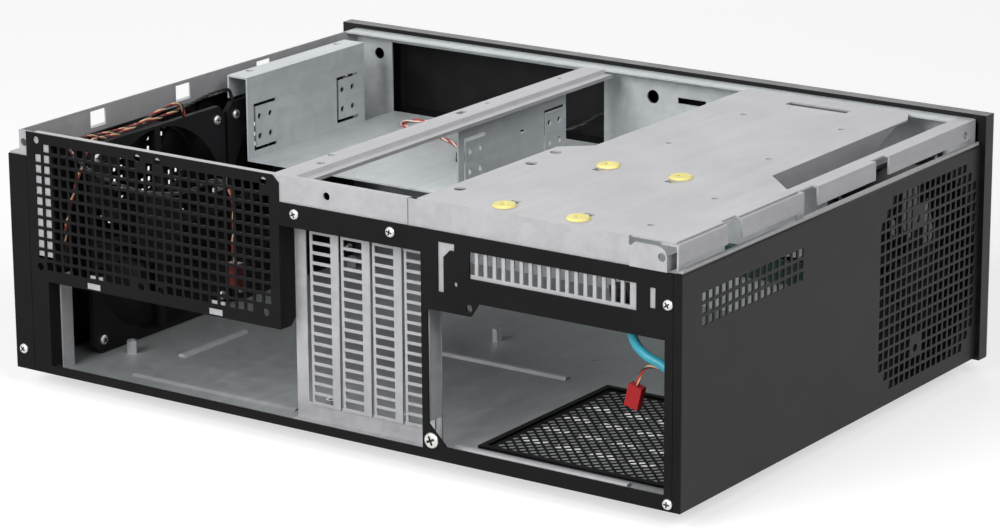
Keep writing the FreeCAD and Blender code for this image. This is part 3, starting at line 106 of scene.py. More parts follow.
floor_mesh = bpy.data.meshes.new("studio_floor")
floor_mesh.from_pydata([(x * floor_half, y * floor_half, 0) for x, y in ((-1, -1), (1, -1), (1, 1), (-1, 1))],
                       [], [(0, 1, 2, 3)])
studio_floor = link(bpy.data.objects.new("studio_floor", floor_mesh))
floor_paint = bpy.data.materials.new("white_floor")
floor_paint.use_nodes = True
floor_tree = floor_paint.node_tree
floor_shader = floor_tree.nodes["Principled BSDF"]
floor_shader.inputs["Base Color"].default_value = floor_colour
floor_shader.inputs["Roughness"].default_value = 0.9
floor_shader.inputs["Specular IOR Level"].default_value = 0.0
floor_shader.inputs["Emission Color"].default_value = white
floor_glow = floor_tree.nodes.new("ShaderNodeMath")
floor_glow.operation = "MULTIPLY"
floor_glow.inputs[1].default_value = floor_glow_strength
floor_tree.links.new(background_rays(floor_tree), floor_glow.inputs[0])
floor_tree.links.new(floor_glow.outputs[0], floor_shader.inputs["Emission Strength"])
floor_mesh.materials.append(floor_paint)

world = bpy.data.worlds.new("studio")
bpy.context.scene.world = world
world.use_nodes = True
sky = world.node_tree
ambient = sky.nodes["Background"]
backdrop = sky.nodes.new("ShaderNodeBackground")
for surround, strength in ((ambient, surround_light), (backdrop, surround_shown)):
    surround.inputs["Color"].default_value = white
    surround.inputs["Strength"].default_value = strength
choice = sky.nodes.new("ShaderNodeMixShader")
sky.links.new(background_rays(sky), choice.inputs["Fac"])
sky.links.new(ambient.outputs["Background"], choice.inputs[1])
sky.links.new(backdrop.outputs["Background"], choice.inputs[2])
sky.links.new(choice.outputs["Shader"], sky.nodes["World Output"].inputs["Surface"])

for name, place, box_size, watts in soft_boxes:
    lamp = bpy.data.lights.new(name, "AREA")
    lamp.size = box_size
    lamp.energy = watts
    soft_box = link(bpy.data.objects.new(name, lamp))
    soft_box.location = place
    soft_box.rotation_euler = (lamp_aim - Vector(place)).to_track_quat("-Z", "Y").to_euler()


# Galvanised chassis: the floor, front wall, rails, bay and brackets are folded from zinc-coated
# sheet, dull grey with a faint crystal spangle, soft clouds and rolling streaks.
noise_span = (0.3, 0.7)  # where most of a noise texture's values lie


def new_finish(name):
    """A material with its shader, ready for texture nodes in metres of the frame."""
    material = bpy.data.materials.new(name)
    material.use_nodes = True
    tree = material.node_tree
    place = tree.nodes.new("ShaderNodeTexCoord")
    return material, tree, tree.nodes["Principled BSDF"], place.outputs["Object"]


def texture(tree, kind, source, **settings):
    """A texture node on the given coordinates, with its sockets set by name."""
    node = tree.nodes.new(kind)
    tree.links.new(source, node.inputs["Vector"])
    for socket, value in settings.items():
        node.inputs[socket].default_value = value
    return node


def spread(tree, source, low, high, start=0.0, end=1.0):
    """The source's range from start to end carried to low..high: numbers, or colours as triples."""
    if isinstance(low, tuple):
        ramp = tree.nodes.new("ShaderNodeValToRGB")
        for element, position, colour in zip(ramp.color_ramp.elements, (start, end), (low, high)):
            element.position = position
            element.color = (*colour, 1)
        tree.links.new(source, ramp.inputs["Fac"])
        return ramp.outputs["Color"]
    scale = tree.nodes.new("ShaderNodeMapRange")
    for socket, value in (("From Min", start), ("From Max", end), ("To Min", low), ("To Max", high)):
        scale.inputs[socket].default_value = value
    tree.links.new(source, scale.inputs["Value"])
    return scale.outputs["Result"]


def multiply(tree, first, second):
    """Two colours multiplied: inputs 6 and 7 and output 2 are the Mix node's colour sockets."""
    mix = tree.nodes.new("ShaderNodeMix")
    mix.data_type = "RGBA"
    mix.blend_type = "MULTIPLY"
    mix.inputs["Factor"].default_value = 1.0
    tree.links.new(first, mix.inputs[6])
    tree.links.new(second, mix.inputs[7])
    return mix.outputs[2]


def relief(tree, shader, height, depth, strength):
    """Bump of the given depth in metres on the shader."""
    bump = tree.nodes.new("ShaderNodeBump")
    bump.inputs["Distance"].default_value = depth
    bump.inputs["Strength"].default_value = strength
    tree.links.new(height, bump.inputs["Height"])
    tree.links.new(bump.outputs["Normal"], shader.inputs["Normal"])


def galvanised(name, dark, light, roughness):
    """Zinc-coated sheet in clouds of two tones, with crystals a few millimetres wide and streaks along Y."""
    crystal_tones, crystal_gloss = (0.93, 1.04), 0.06
    streak_scale, streak_tones = (220, 9, 220), ((0.94,) * 3, (1.03,) * 3)
    cloud_depth = 0.2 * MM
    material, tree, shader, here = new_finish(name)
    shader.inputs["Metallic"].default_value = 0.3
    shader.inputs["Specular IOR Level"].default_value = 0.15
    spangle = texture(tree, "ShaderNodeTexVoronoi", here, Scale=170.0).outputs["Color"]
    stretch = tree.nodes.new("ShaderNodeMapping")
    stretch.inputs["Scale"].default_value = streak_scale
    tree.links.new(here, stretch.inputs["Vector"])
    streaks = texture(tree, "ShaderNodeTexNoise", stretch.outputs["Vector"],
                      Scale=1.0, Detail=3.0).outputs["Fac"]
    cloud = texture(tree, "ShaderNodeTexNoise", here, Scale=14.0, Detail=4.0, Roughness=0.6).outputs["Fac"]
    zinc = spread(tree, cloud, dark, light, *noise_span)
    rolled = multiply(tree, zinc, spread(tree, streaks, *streak_tones, *noise_span))
    tree.links.new(multiply(tree, rolled, spread(tree, spangle, *crystal_tones)), shader.inputs["Base Color"])
    tree.links.new(spread(tree, spangle, roughness - crystal_gloss, roughness + crystal_gloss),
                   shader.inputs["Roughness"])
    relief(tree, shader, cloud, cloud_depth, strength=0.3)
    return material


def paint(material, *names):
    """CAD nodes keep their shape and take this finish."""
    for node in names:
        slots = nodes[node].data.materials
        slots.clear()
        slots.append(material)


# One zinc finish in three tones: the front wall and bay take a lighter copy as painted light, and the floor a
# darker copy as painted shade under the drive plate.
zinc_sheet = galvanised("zinc_sheet", (0.38, 0.38, 0.395), (0.44, 0.44, 0.455), 0.5)
lit_inner_zinc = galvanised("lit_inner_zinc", (0.48, 0.51, 0.52), (0.55, 0.58, 0.59), 0.5)
shaded_floor_zinc = galvanised("shaded_floor_zinc", (0.25, 0.265, 0.268), (0.30, 0.315, 0.318), 0.45)
paint(zinc_sheet, "top_rail_left", "top_rail_right", "top_rail_rear", "rear_corner_bracket", "centre_bar",
      "rear_post", "vent_plate_clips", "lead_hook")
paint(lit_inner_zinc, "front_panel", "drive_bay")
paint(shaded_floor_zinc, "floor_pan")


# Rear panel: one punched steel sheet with windows for the connectors, the slots and the power
# supply, in a satin black powder coat that has a very fine orange peel.
def powder_coat(name, colour, roughness, gloss):
    """Baked powder coat with a little dust that lightens and dulls it."""
    dust_tone, dust_span = 1.35, (0.35, 0.75)
    smoothest, dullest = roughness - 0.05, roughness + 0.06
    peel_depth = 0.06 * MM
    material, tree, shader, here = new_finish(name)
    shader.inputs["Specular IOR Level"].default_value = gloss
    peel = texture(tree, "ShaderNodeTexNoise", here, Scale=900.0, Detail=2.0).outputs["Fac"]
    dust = texture(tree, "ShaderNodeTexNoise", here, Scale=35.0, Detail=5.0, Roughness=0.7).outputs["Fac"]
    lighter = tuple(dust_tone * part for part in colour)
    tree.links.new(spread(tree, dust, colour, lighter, *dust_span), shader.inputs["Base Color"])
    tree.links.new(spread(tree, dust, smoothest, dullest, *noise_span), shader.inputs["Roughness"])
    relief(tree, shader, peel, peel_depth, strength=0.5)
    return material


# rear_coat is the darker of two copies of one black coat; the side walls take a lighter, glossier copy as
# painted sheen.
rear_coat = powder_coat("rear_coat", (0.0075, 0.007, 0.0075), 0.45, 0.065)
paint(rear_coat, "rear_panel")


# Rear vent plate: coated steel sheet over the connector window, punched with a field of small
# square holes and the screw holes of two 80 mm fans, folded at its left end and hooked on two tabs.
def cut_sheet(plane, low, high, outlines, edge=0.08 * MM):
    """Mesh of a flat sheet between two levels of the frame: its outline first, then its holes."""
    curve = bpy.data.curves.new("sheet", "CURVE")
    curve.dimensions = "2D"
    curve.fill_mode = "BOTH"
    curve.extrude = (high - low) / 2 - edge
    curve.bevel_depth = edge
    curve.bevel_resolution = 0
    curve.offset = -edge
    for outline in outlines:
        line = curve.splines.new("POLY")
        line.points.add(len(outline) - 1)
        for point, (across, upward) in zip(line.points, outline):
            point.co = (across, upward, 0, 1)
        line.use_cyclic_u = True
    carrier = bpy.data.objects.new("sheet", curve)
    mesh = bpy.data.meshes.new_from_object(carrier)
    bpy.data.objects.remove(carrier)
    bpy.data.curves.remove(curve)
    columns = {"XY": ((1, 0, 0), (0, 1, 0), (0, 0, 1)),
               "XZ": ((1, 0, 0), (0, 0, 1), (0, -1, 0)),
               "YZ": ((0, 1, 0), (0, 0, 1), (1, 0, 0))}[plane]
    middle = Vector(abs(part) for part in columns[2]) * ((low + high) / 2)
    mesh.transform(Matrix.Translation(middle) @ Matrix(columns).transposed().to_4x4())
    return mesh


def oblong(left, base, right_side, top):
    """Corners of a rectangle."""
    return [(left, base), (right_side, base), (right_side, top), (left, top)]


def disc(across, upward, radius, count=24):
    """Points round a circle."""
    angles = [math.tau * i / count for i in range(count)]
    return [(across + radius * math.cos(angle), upward + radius * math.sin(angle)) for angle in angles]


def punched_field(middle, columns, rows, pitch, hole, cut_corner=0):
    """Square holes on a square pitch; cut_corner steps are left off each corner."""
    holes = []
    for i in range(columns):
        for j in range(rows):
            to_corner = min(i, columns - 1 - i) + min(j, rows - 1 - j)
            if to_corner < cut_corner:
                continue
            left = middle[0] + (i - (columns - 1) / 2) * pitch - hole / 2
            base = middle[1] + (j - (rows - 1) / 2) * pitch - hole / 2
            holes.append(oblong(left, base, left + hole, base + hole))
    return holes


def clear_of(hole, spots, reach):
    """True where the middle of a hole is farther than the reach from every spot."""
    across = sum(point[0] for point in hole) / len(hole)
    upward = sum(point[1] for point in hole) / len(hole)
    return all(math.hypot(across - x, upward - y) > reach for x, y in spots)


def joined(name, meshes):
    """One object of one or more meshes."""
    loose = [link(bpy.data.objects.new(name, mesh)) for mesh in meshes]
    if len(loose) > 1:
        with bpy.context.temp_override(active_object=loose[0], selected_editable_objects=loose):
            bpy.ops.object.join()
    return loose[0]


def make_piece(name, meshes, material):
    """One piece of the case from meshes that share a finish."""
    piece = joined(name, meshes)
    piece.data.materials.clear()
    piece.data.materials.append(material)
    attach(piece, "case")
    return piece


skin = 1.0 * MM
hole_side, vent_pitch = 4.5 * MM, 6.05 * MM
vent_columns, vent_rows, vent_middle = 27, 12, (117.2 * MM, 106.2 * MM)
rear_fan_centres = [(161 * MM, 107.7 * MM), (75.7 * MM, 107.7 * MM)]
fan_hole_spacing, fan_hole_radius, fan_hole_margin = 71.5 * MM, 2.15 * MM, 5.2 * MM
hook_middles, hook_half, hook_low, hook_high = (158.6 * MM, 73.7 * MM), 4.5 * MM, 64.8 * MM, 68.2 * MM
vent_corner, fold_top = 4 * MM, 121 * MM

vent_low, vent_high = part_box("rear_vent_plate")
vent_rear = vent_high[1]
left, right_end, base, top = vent_low[0], vent_high[0], vent_low[2], vent_high[2]
vent_edge = [(left, base), (right_end, base), (right_end, top), (left + vent_corner, top),
             (left, top - vent_corner)]
fan_hole_spots = [(across + i * fan_hole_spacing, upward + j * fan_hole_spacing)
                  for across, upward in rear_fan_centres for i in (-0.5, 0.5) for j in (-0.5, 0.5)]
vent_holes = [hole for hole in punched_field(vent_middle, vent_columns, vent_rows, vent_pitch, hole_side)
              if clear_of(hole, fan_hole_spots, fan_hole_margin)]
vent_holes += [disc(*spot, fan_hole_radius) for spot in fan_hole_spots]
vent_holes += [oblong(across - hook_half, hook_low, across + hook_half, hook_high) for across in hook_middles]
vent_face = cut_sheet("XZ", vent_rear - skin, vent_rear, [vent_edge] + vent_holes)
fold_front, fold_rear = vent_low[1], vent_rear - skin
vent_fold = cut_sheet("YZ", left, left + skin, [[
    (fold_front, base + vent_corner), (fold_front + vent_corner, base), (fold_rear, base),
    (fold_rear, fold_top), (fold_front, fold_top)]])
vent_plate = make_piece("vent_plate", [vent_face, vent_fold], rear_coat)
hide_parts("rear_vent_plate")


# End strip: a strip of bare zinc-coated sheet flat against the back of the vent plate, which
# shows bright through the columns of holes at the plate's left end.
strip_left, strip_right, strip_low, strip_high = 187 * MM, 199.8 * MM, 78 * MM, 143.6 * MM
end_strip = cut_sheet("XZ", vent_rear - 2 * skin, vent_rear - skin,
                      [oblong(strip_left, strip_low, strip_right, strip_high)])
vent_end_strip = make_piece("vent_end_strip", [end_strip], zinc_sheet)


# Slot frame: zinc-coated sheet set back behind the slot window, with one opening for the four
# slots, a ledge folded along the sill and a hem and lip folded along the power supply's side.
slot_count, slot_first, slot_pitch = 4, 21.2 * MM, 20.32 * MM
slot_window, frame_overlap, hem_gap = -61 * MM, 3 * MM, 2 * MM
hem_low, hem_high = 30 * MM, 91.5 * MM
opening_low, opening_inset, opening_outset, opening_rim = 22.5 * MM, 2 * MM, 1.4 * MM, 0.6 * MM
frame_low, frame_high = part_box("slot_frame")
frame_face = frame_low[1] + skin
frame_side = slot_window - frame_overlap
hem_side = slot_window - hem_gap
slot_opening = oblong(slot_first - slot_count * slot_pitch + opening_inset, opening_low,
                      slot_first + opening_outset, frame_high[2] - opening_rim)
frame_sheet = cut_sheet("XZ", frame_low[1], frame_face,
                        [oblong(frame_side, frame_low[2], frame_high[0], frame_high[2]), slot_opening])
frame_ledge = cut_sheet("XY", frame_low[2], frame_low[2] + skin,
                        [oblong(slot_window, frame_face, frame_high[0], frame_high[1] - 0.5 * skin)])
frame_hem = cut_sheet("YZ", hem_side - skin, hem_side, [oblong(frame_face, hem_low, frame_high[1], hem_high)])
frame_lip = cut_sheet("XZ", frame_high[1] - skin, frame_high[1],
                      [oblong(frame_low[0], hem_low, hem_side - skin, hem_high)])
slot_surround = make_piece("slot_surround", [frame_sheet, frame_ledge, frame_hem, frame_lip], zinc_sheet)
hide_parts("slot_frame")


# Slot covers: four blanking plates of zinc-coated sheet, each punched with a column of oblong
# vents and bent over at the top into a tab, which a screw holds down on the frame.
slot_gap, slot_shift = 1.7 * MM, 0.2 * MM
louvre_rows, louvre_pitch, louvre_high, louvre_first = 18, 5.51 * MM, 3.9 * MM, 23.3 * MM
louvre_right, louvre_left, tab_hole = 5.3 * MM, 6.7 * MM, 1.55 * MM
for number in range(1, slot_count + 1):
    cover_low, cover_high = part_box(f"slot_cover_{number}")
    cover_left = slot_first - (number - 1) * slot_pitch - slot_shift - slot_gap
    cover_right = slot_first - number * slot_pitch - slot_shift
    middle = slot_first - (number - 0.5) * slot_pitch
    louvre_bases = [louvre_first + row * louvre_pitch for row in range(louvre_rows)]
    louvres = [oblong(middle - louvre_right, base, middle + louvre_left, base + louvre_high)
               for base in louvre_bases]
    cover_face = cut_sheet("XZ", frame_face, frame_face + skin,
                           [oblong(cover_right, cover_low[2], cover_left, cover_high[2] - skin)] + louvres)
    cover_tab = cut_sheet("XY", cover_high[2] - skin, cover_high[2],
                          [oblong(cover_right, frame_face, cover_left, cover_high[1]),
                           disc(middle, (frame_face + skin + cover_high[1]) / 2, tab_hole)])
    slot_blank = make_piece(f"slot_blank_{number}", [cover_face, cover_tab], zinc_sheet)
    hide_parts(f"slot_cover_{number}")


# Side panels: coated steel sheets folded to a ledge along the top and a flange at the rear, punched
# with fields of square holes that leave their corners solid in front of the fans.
# A lighter, glossier copy of the black coat: a painted sheen on the side walls.
lit_side_coat = powder_coat("lit_side_coat", (0.016, 0.0155, 0.015), 0.42, 0.155)
fan_field, fan_pitch, fan_level, solid_corner = 18, 6.0 * MM, 72.5 * MM, 2
bosses = [(-79 * MM, 107.5 * MM), (-79.5 * MM, 35 * MM)]
boss_hole, boss_margin = 2.2 * MM, 6.5 * MM
small_columns, small_rows, small_pitch, small_middle = 16, 3, 6.2 * MM, (91 * MM, 111.3 * MM)
flange_hole = (211 * MM, 22.7 * MM, 1.55 * MM)
for side, hand, field_centres, punched, seam, ledge_wide in (
        ("left", 1, (63.4 * MM, -59 * MM), 2.6 * MM, 204 * MM, 8.5 * MM),
        ("right", -1, (-92 * MM,), hole_side, -212.4 * MM, 4 * MM)):
    low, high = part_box(f"side_panel_{side}")
    rear_face = high[1] - skin
    wall_holes = []
    for centre in field_centres:
        wall_holes += punched_field((centre, fan_level), fan_field, fan_field, fan_pitch, punched,
                                    solid_corner)
    flange_holes = []
    if side == "right":
        wall_holes = [hole for hole in wall_holes if clear_of(hole, bosses, boss_margin)]
        wall_holes += [disc(*spot, boss_hole) for spot in bosses]
        wall_holes += punched_field(small_middle, small_columns, small_rows, small_pitch, hole_side)
    else:
        flange_holes.append(disc(*flange_hole))
    outer = high[0] if hand > 0 else low[0]
    inner = outer - hand * skin
    shelf = outer - hand * ledge_wide
    wall = cut_sheet("YZ", min(inner, outer), max(inner, outer),
                     [oblong(low[1], low[2], rear_face, high[2] - skin)] + wall_holes)
    ledge = cut_sheet("XY", high[2] - skin, high[2],
                      [oblong(min(shelf, outer), low[1], max(shelf, outer), rear_face)])
    flange = cut_sheet("XZ", rear_face, high[1],
                       [oblong(min(seam, outer), low[2], max(seam, outer), high[2])] + flange_holes)
    side_panel = make_piece(f"side_{side}", [wall, ledge, flange], lit_side_coat)
    # The rear flange's faces take the darker rear coat: the two copies paint light and shade by facing.
    side_panel.data.materials.append(rear_coat)
    for face in side_panel.data.polygons:
        on_flange = face.center.y > rear_face + skin / 20
        face.material_index = 1 if on_flange else 0
    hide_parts(f"side_panel_{side}")


# Intake filter: a black plastic frame, moulded with a net of diamond holes, that lies on the
# floor over the power supply's intake slots.
def moulded(name, colour, roughness, gloss=0.4, grain=700.0, grain_depth=0.04 * MM):
    """Moulded plastic or rubber with a fine surface grain and slight unevenness of tone."""
    paler, paler_black, deeper, uneven = 1.18, 0.001, 0.88, 0.05
    material, tree, shader, here = new_finish(name)
    shader.inputs["Specular IOR Level"].default_value = gloss
    tone = texture(tree, "ShaderNodeTexNoise", here, Scale=60.0, Detail=4.0).outputs["Fac"]
    fine = texture(tree, "ShaderNodeTexNoise", here, Scale=grain, Detail=2.0).outputs["Fac"]
    pale = tuple(min(1.0, paler * part + paler_black) for part in colour)
    deep = tuple(deeper * part for part in colour)
    tree.links.new(spread(tree, tone, deep, pale, *noise_span), shader.inputs["Base Color"])
    tree.links.new(spread(tree, tone, roughness - uneven, roughness + uneven, *noise_span),
                   shader.inputs["Roughness"])
    relief(tree, shader, fine, grain_depth, strength=0.6)
    return material


net_plastic = moulded("net_plastic", (0.004, 0.004, 0.0045), 0.6, 0.05)
net_pitch, net_hole, net_rim = 6.6 * MM, 2.3 * MM, 3.5 * MM
net_thick, net_edge, diamond = 0.4 * MM, 0.1 * MM, 4
(net_left, net_front, net_low), (net_right, net_rear, net_high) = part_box("psu_filter")
net_outline = oblong(net_left, net_front, net_right, net_rear)
net_window = oblong(net_left + net_rim, net_front + net_rim, net_right - net_rim, net_rear - net_rim)
net_holes = []
row = 0
hole_y = net_front + net_rim + net_pitch / 2
while hole_y < net_rear - net_rim - net_pitch / 2:
    hole_x = net_left + net_rim + net_pitch * (0.5 if row % 2 == 0 else 1.0)
    while hole_x < net_right - net_rim - net_pitch / 2:
        net_holes.append(disc(hole_x, hole_y, net_hole, diamond))
        hole_x += net_pitch
    hole_y += net_pitch / 2
    row += 1
net = cut_sheet("XY", net_low, net_low + net_thick, [net_outline] + net_holes, net_edge)
net_frame = cut_sheet("XY", net_low + net_thick, net_high, [net_outline, net_window])
intake_net = make_piece("intake_net", [net, net_frame], net_plastic)
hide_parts("psu_filter")


# Fans: black moulded frames, each with a rotor of nine wide swept blades, held by screws at
# their corners.
fan_frame_plastic = moulded("fan_frame_plastic", (0.006, 0.006, 0.007), 0.5, 0.15)
rotor_plastic = moulded("rotor_plastic", (0.005, 0.005, 0.0055), 0.45, 0.12)
paint(fan_frame_plastic, "fan_frame_a", "fan_frame_b", "fan_frame_c")
paint(rotor_plastic, "fan_rotor_a", "fan_rotor_b", "fan_rotor_c")


# Screws: nickel-plated steel pan heads with a cross recess, driven into the panels, the slot
# covers and the corners of the fans, each stopped at an angle of its own.
def plated(name, colour, roughness):
    """Plated metal with fine scuffs that darken and dull it."""
    scuff_tone, scuff_span, dullest = 0.8, (0.3, 0.6), roughness + 0.12
    material, tree, shader, here = new_finish(name)
    shader.inputs["Metallic"].default_value = 0.9
    scuff = texture(tree, "ShaderNodeTexNoise", here, Scale=800.0, Detail=3.0).outputs["Fac"]
    worn = tuple(scuff_tone * part for part in colour)
    tree.links.new(spread(tree, scuff, worn, colour, *scuff_span), shader.inputs["Base Color"])
    tree.links.new(spread(tree, scuff, dullest, roughness, *noise_span), shader.inputs["Roughness"])
    return material


def lathe(profile):
    """Closed mesh of revolution about Z from (radius, height) points that start and end on the axis."""
    count = 32
    vertices = [(0, 0, profile[0][1])]
    for radius, height in profile[1:-1]:
        vertices += [(across, upward, height) for across, upward in disc(0, 0, radius, count)]
    vertices.append((0, 0, profile[-1][1]))
    last = len(vertices) - 1
    rings = [1 + k * count for k in range(len(profile) - 2)]
    steps = [(i, (i + 1) % count) for i in range(count)]
    faces = [(0, rings[0] + j, rings[0] + i) for i, j in steps]
    for lower, upper in zip(rings, rings[1:]):
        faces += [(lower + i, lower + j, upper + j, upper + i) for i, j in steps]
    faces += [(rings[-1] + i, rings[-1] + j, last) for i, j in steps]
    mesh = bpy.data.meshes.new("lathe")
    mesh.from_pydata(vertices, [], faces)
    return mesh


def carve(mesh, low, high):
    """The mesh with the box between two corners cut out of it."""
    box = bpy.data.meshes.new("box")
    box.from_pydata(
        [(x, y, z) for x in (low[0], high[0]) for y in (low[1], high[1]) for z in (low[2], high[2])], [],
        [(0, 1, 3, 2), (4, 6, 7, 5), (0, 4, 5, 1), (2, 3, 7, 6), (0, 2, 6, 4), (1, 5, 7, 3)])
    work = link(bpy.data.objects.new("work", mesh))
    tool = link(bpy.data.objects.new("tool", box))
    cut = work.modifiers.new("cut", "BOOLEAN")
    cut.operation = "DIFFERENCE"
    cut.object = tool
    carved = bpy.data.meshes.new_from_object(work.evaluated_get(bpy.context.evaluated_depsgraph_get()))
    bpy.data.objects.remove(work)
    bpy.data.objects.remove(tool)
    return carved


head_high, shank, shank_long = 1.7 * MM, 1.4 * MM, 4 * MM
shoulder_inset, crown_inset = 0.35 * MM, 0.9 * MM
recess_long, recess_wide, recess_floor = 0.62, 0.15, 0.35  # of the head's radius, radius and height
shadow_margin, shadow_top = 0.01, 0.94


def cross_head(radius):
    """Pan-head screw with a cross recess, its head from Z = 0 upwards and its shank below."""
    screw = lathe([(0, -shank_long), (shank, -shank_long), (shank, 0), (radius, 0), (radius, 0.5 * head_high),
                   (radius - shoulder_inset, 0.78 * head_high), (radius - crown_inset, 0.95 * head_high),
                   (0.45 * radius, head_high), (0, head_high)])
    for across, upward in ((recess_long, recess_wide), (recess_wide, recess_long)):
        screw = carve(screw, (-across * radius, -upward * radius, recess_floor * head_high),
                      (across * radius, upward * radius, 2 * head_high))
    return screw


def in_recess(centre, radius):
    """True for a face of the recess, below the crown of the head."""
    near, far = sorted((abs(centre[0]), abs(centre[1])))
    inside = far <= (recess_long + shadow_margin) * radius and near <= (recess_wide + shadow_margin) * radius
    return inside and (recess_floor - shadow_margin) * head_high <= centre[2] < shadow_top * head_high


nickel = plated("nickel", (0.74, 0.74, 0.72), 0.24)
# Near-black for the recess faces: painted shade in the cross recess.
recess_shade = plated("recess_shade", (0.05, 0.05, 0.05), 0.5)
first_angle, angle_step = 0.4, 0.9


def fit_screws(name, replaced, radius, placements):
    """One piece of equal screws, each turned to its own angle, with the recess faces in a near-black finish
    as painted shade.
    """
    meshes = []
    for count, placement in enumerate(placements):
        mesh = cross_head(radius)
        mesh.materials.clear()
        mesh.materials.append(nickel)
        mesh.materials.append(recess_shade)
        for face in mesh.polygons:
            face.material_index = 1 if in_recess(face.center, radius) else 0
        mesh.transform(placement @ Matrix.Rotation(angle_step * count + first_angle, 4, "Z"))
        meshes.append(mesh)
    heads = joined(name, meshes)
    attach(heads, "case")
    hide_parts(replaced)


def on_rear(across, upward):
    """Place of a screw on the rear face, in millimetres."""
    return Matrix.Translation((across * MM, vent_rear, upward * MM)) @ Matrix.Rotation(-math.pi / 2, 4, "X")


small_head, large_head = 2.75 * MM, 4.2 * MM
panel_spots = ((19.3, 128.5), (-42.4, 128.5), (-209.6, 117.4), (-210, 15), (211, 22.7))
psu_corner_spot = (-67, 21.3)
fan_screw_reach = 52.5 * MM
fit_screws("panel_heads", "panel_screws", small_head, [on_rear(*spot) for spot in panel_spots])
fit_screws("psu_corner_head", "psu_corner_screw", large_head, [on_rear(*psu_corner_spot)])
slot_screws_low, slot_screws_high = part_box("slot_screws")
slot_screw_y = (slot_screws_low[1] + slot_screws_high[1]) / 2
slot_screw_z = slot_screws_high[2] - head_high
fit_screws("slot_heads", "slot_screws", small_head,
           [Matrix.Translation((slot_first - (number + 0.5) * slot_pitch, slot_screw_y, slot_screw_z))
            for number in range(slot_count)])
fan_heads = []
for name, hand in (("a", 1), ("b", 1), ("c", -1)):
    low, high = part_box(f"fan_frame_{name}")
    face_x = low[0] if hand > 0 else high[0]
    for i in (-fan_screw_reach, fan_screw_reach):
        for j in (-fan_screw_reach, fan_screw_reach):
            spot = (face_x, (low[1] + high[1]) / 2 + i, (low[2] + high[2]) / 2 + j)
            fan_heads.append(Matrix.Translation(spot) @ Matrix.Rotation(-hand * math.pi / 2, 4, "Y"))
fit_screws("fan_heads", "fan_screws", small_head, fan_heads)


# Drive plate: folded zinc-coated sheet over the power supply with a comb of slots in its rear
# flange, whose lower corner is cut back to clear the slot window.
cut_back_top = 123 * MM
tray_low, tray_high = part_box("drive_plate")
tray_sheet = nodes["drive_plate"].data.copy()
tray_sheet.transform(nodes["drive_plate"].matrix_world)
tray_sheet = carve(tray_sheet, (frame_side, tray_high[1] - 2 * skin, tray_low[2] - skin),
                   (tray_high[0] + skin, tray_high[1] + skin, cut_back_top))
drive_tray = make_piece("drive_tray", [tray_sheet], zinc_sheet)
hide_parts("drive_plate")


# Floor ribs: low ridges pressed up from the zinc-coated floor sheet to stiffen it, in the lighter zinc of the
# rails as a painted highlight against the darker floor, and a broader one along the sill of the connector
# window in the floor's own tone.
floor_top = frame_low[2]
rib_wide, rib_high = 5.4 * MM, 1.55 * MM
sill_wide, sill_high = 8 * MM, 1.2 * MM
rib_lines = (("Y", 150, 40.8, 97.2), ("X", 12, -52.2, 33.2), ("X", 140.5, -175.2, -68.8))
sill_line = ("X", 135.3, 38, 151)


def rib(line, wide, high):
    """Ridge with sloping sides on the floor, from its line: along X or Y, its middle, start and end in mm."""
    along, middle, start, end = line
    profile = [(-wide / 2, 0), (-wide / 4, high), (wide / 4, high), (wide / 2, 0)]
    vertices = []
    for reach in (start * MM, end * MM):
        for across, upward in profile:
            side_step = middle * MM + across
            spot = (reach, side_step) if along == "X" else (side_step, reach)
            vertices.append((*spot, floor_top + upward))
    mesh = bpy.data.meshes.new("rib")
    mesh.from_pydata(vertices, [], [(0, 1, 5, 4), (1, 2, 6, 5), (2, 3, 7, 6), (3, 0, 4, 7), (3, 2, 1, 0),
                                    (4, 5, 6, 7)])
    return mesh


floor_ribs = make_piece("floor_ribs", [rib(line, rib_wide, rib_high) for line in rib_lines], zinc_sheet)
sill_rib = make_piece("sill_rib", [rib(sill_line, sill_wide, sill_high)], shaded_floor_zinc)


# Standoffs: turned steel hexagon posts, plated with zinc and screwed into the floor, which carry
# the motherboard.
post_zinc = plated("post_zinc", (0.78, 0.79, 0.82), 0.3)
paint(post_zinc, "motherboard_standoffs")


# Grommets: soft yellow rubber spools, moulded and pressed into the drive plate, which keep a
# drive's hum off the sheet.
yellow_rubber = moulded("yellow_rubber", (0.74, 0.66, 0.24), 0.55, 0.2)
paint(yellow_rubber, "drive_grommets")


# Feet: black moulded plastic cups fixed under the floor, with rubber discs set into them that
# stand on the table.
paint(moulded("foot_cup", (0.016, 0.016, 0.017), 0.5), "feet")
paint(moulded("foot_disc", (0.012, 0.012, 0.012), 0.8), "foot_pads")


# Front: a satin black moulded bezel with a flap over the drive opening, two silver caps and a row
# of ports, whose metal sockets and black jacks stand on a small green board.
bezel_black = moulded("bezel_black", (0.006, 0.006, 0.0065), 0.36, 0.2, 500.0, 0.03 * MM)
black_nylon = moulded("black_nylon", (0.015, 0.015, 0.016), 0.45)
paint(bezel_black, "front_bezel", "drive_door", "panel_switches")
paint(moulded("silver_caps", (0.42, 0.43, 0.44), 0.35), "power_button", "reset_button")
paint(moulded("green_board", (0.008, 0.045, 0.03), 0.45), "port_board")
paint(plated("socket_shell", (0.7, 0.7, 0.7), 0.25), "usb_sockets")
paint(black_nylon, "audio_jacks")


# Fan leads: three thin insulated wires in a loose twist, black over given stretches of one lead, from each
# left-hand fan along its top edge to the rear, where they hang behind the vent plate in moulded plugs.
def metres(spot):
    """A spot in millimetres, in metres."""
    return tuple(part * MM for part in spot)


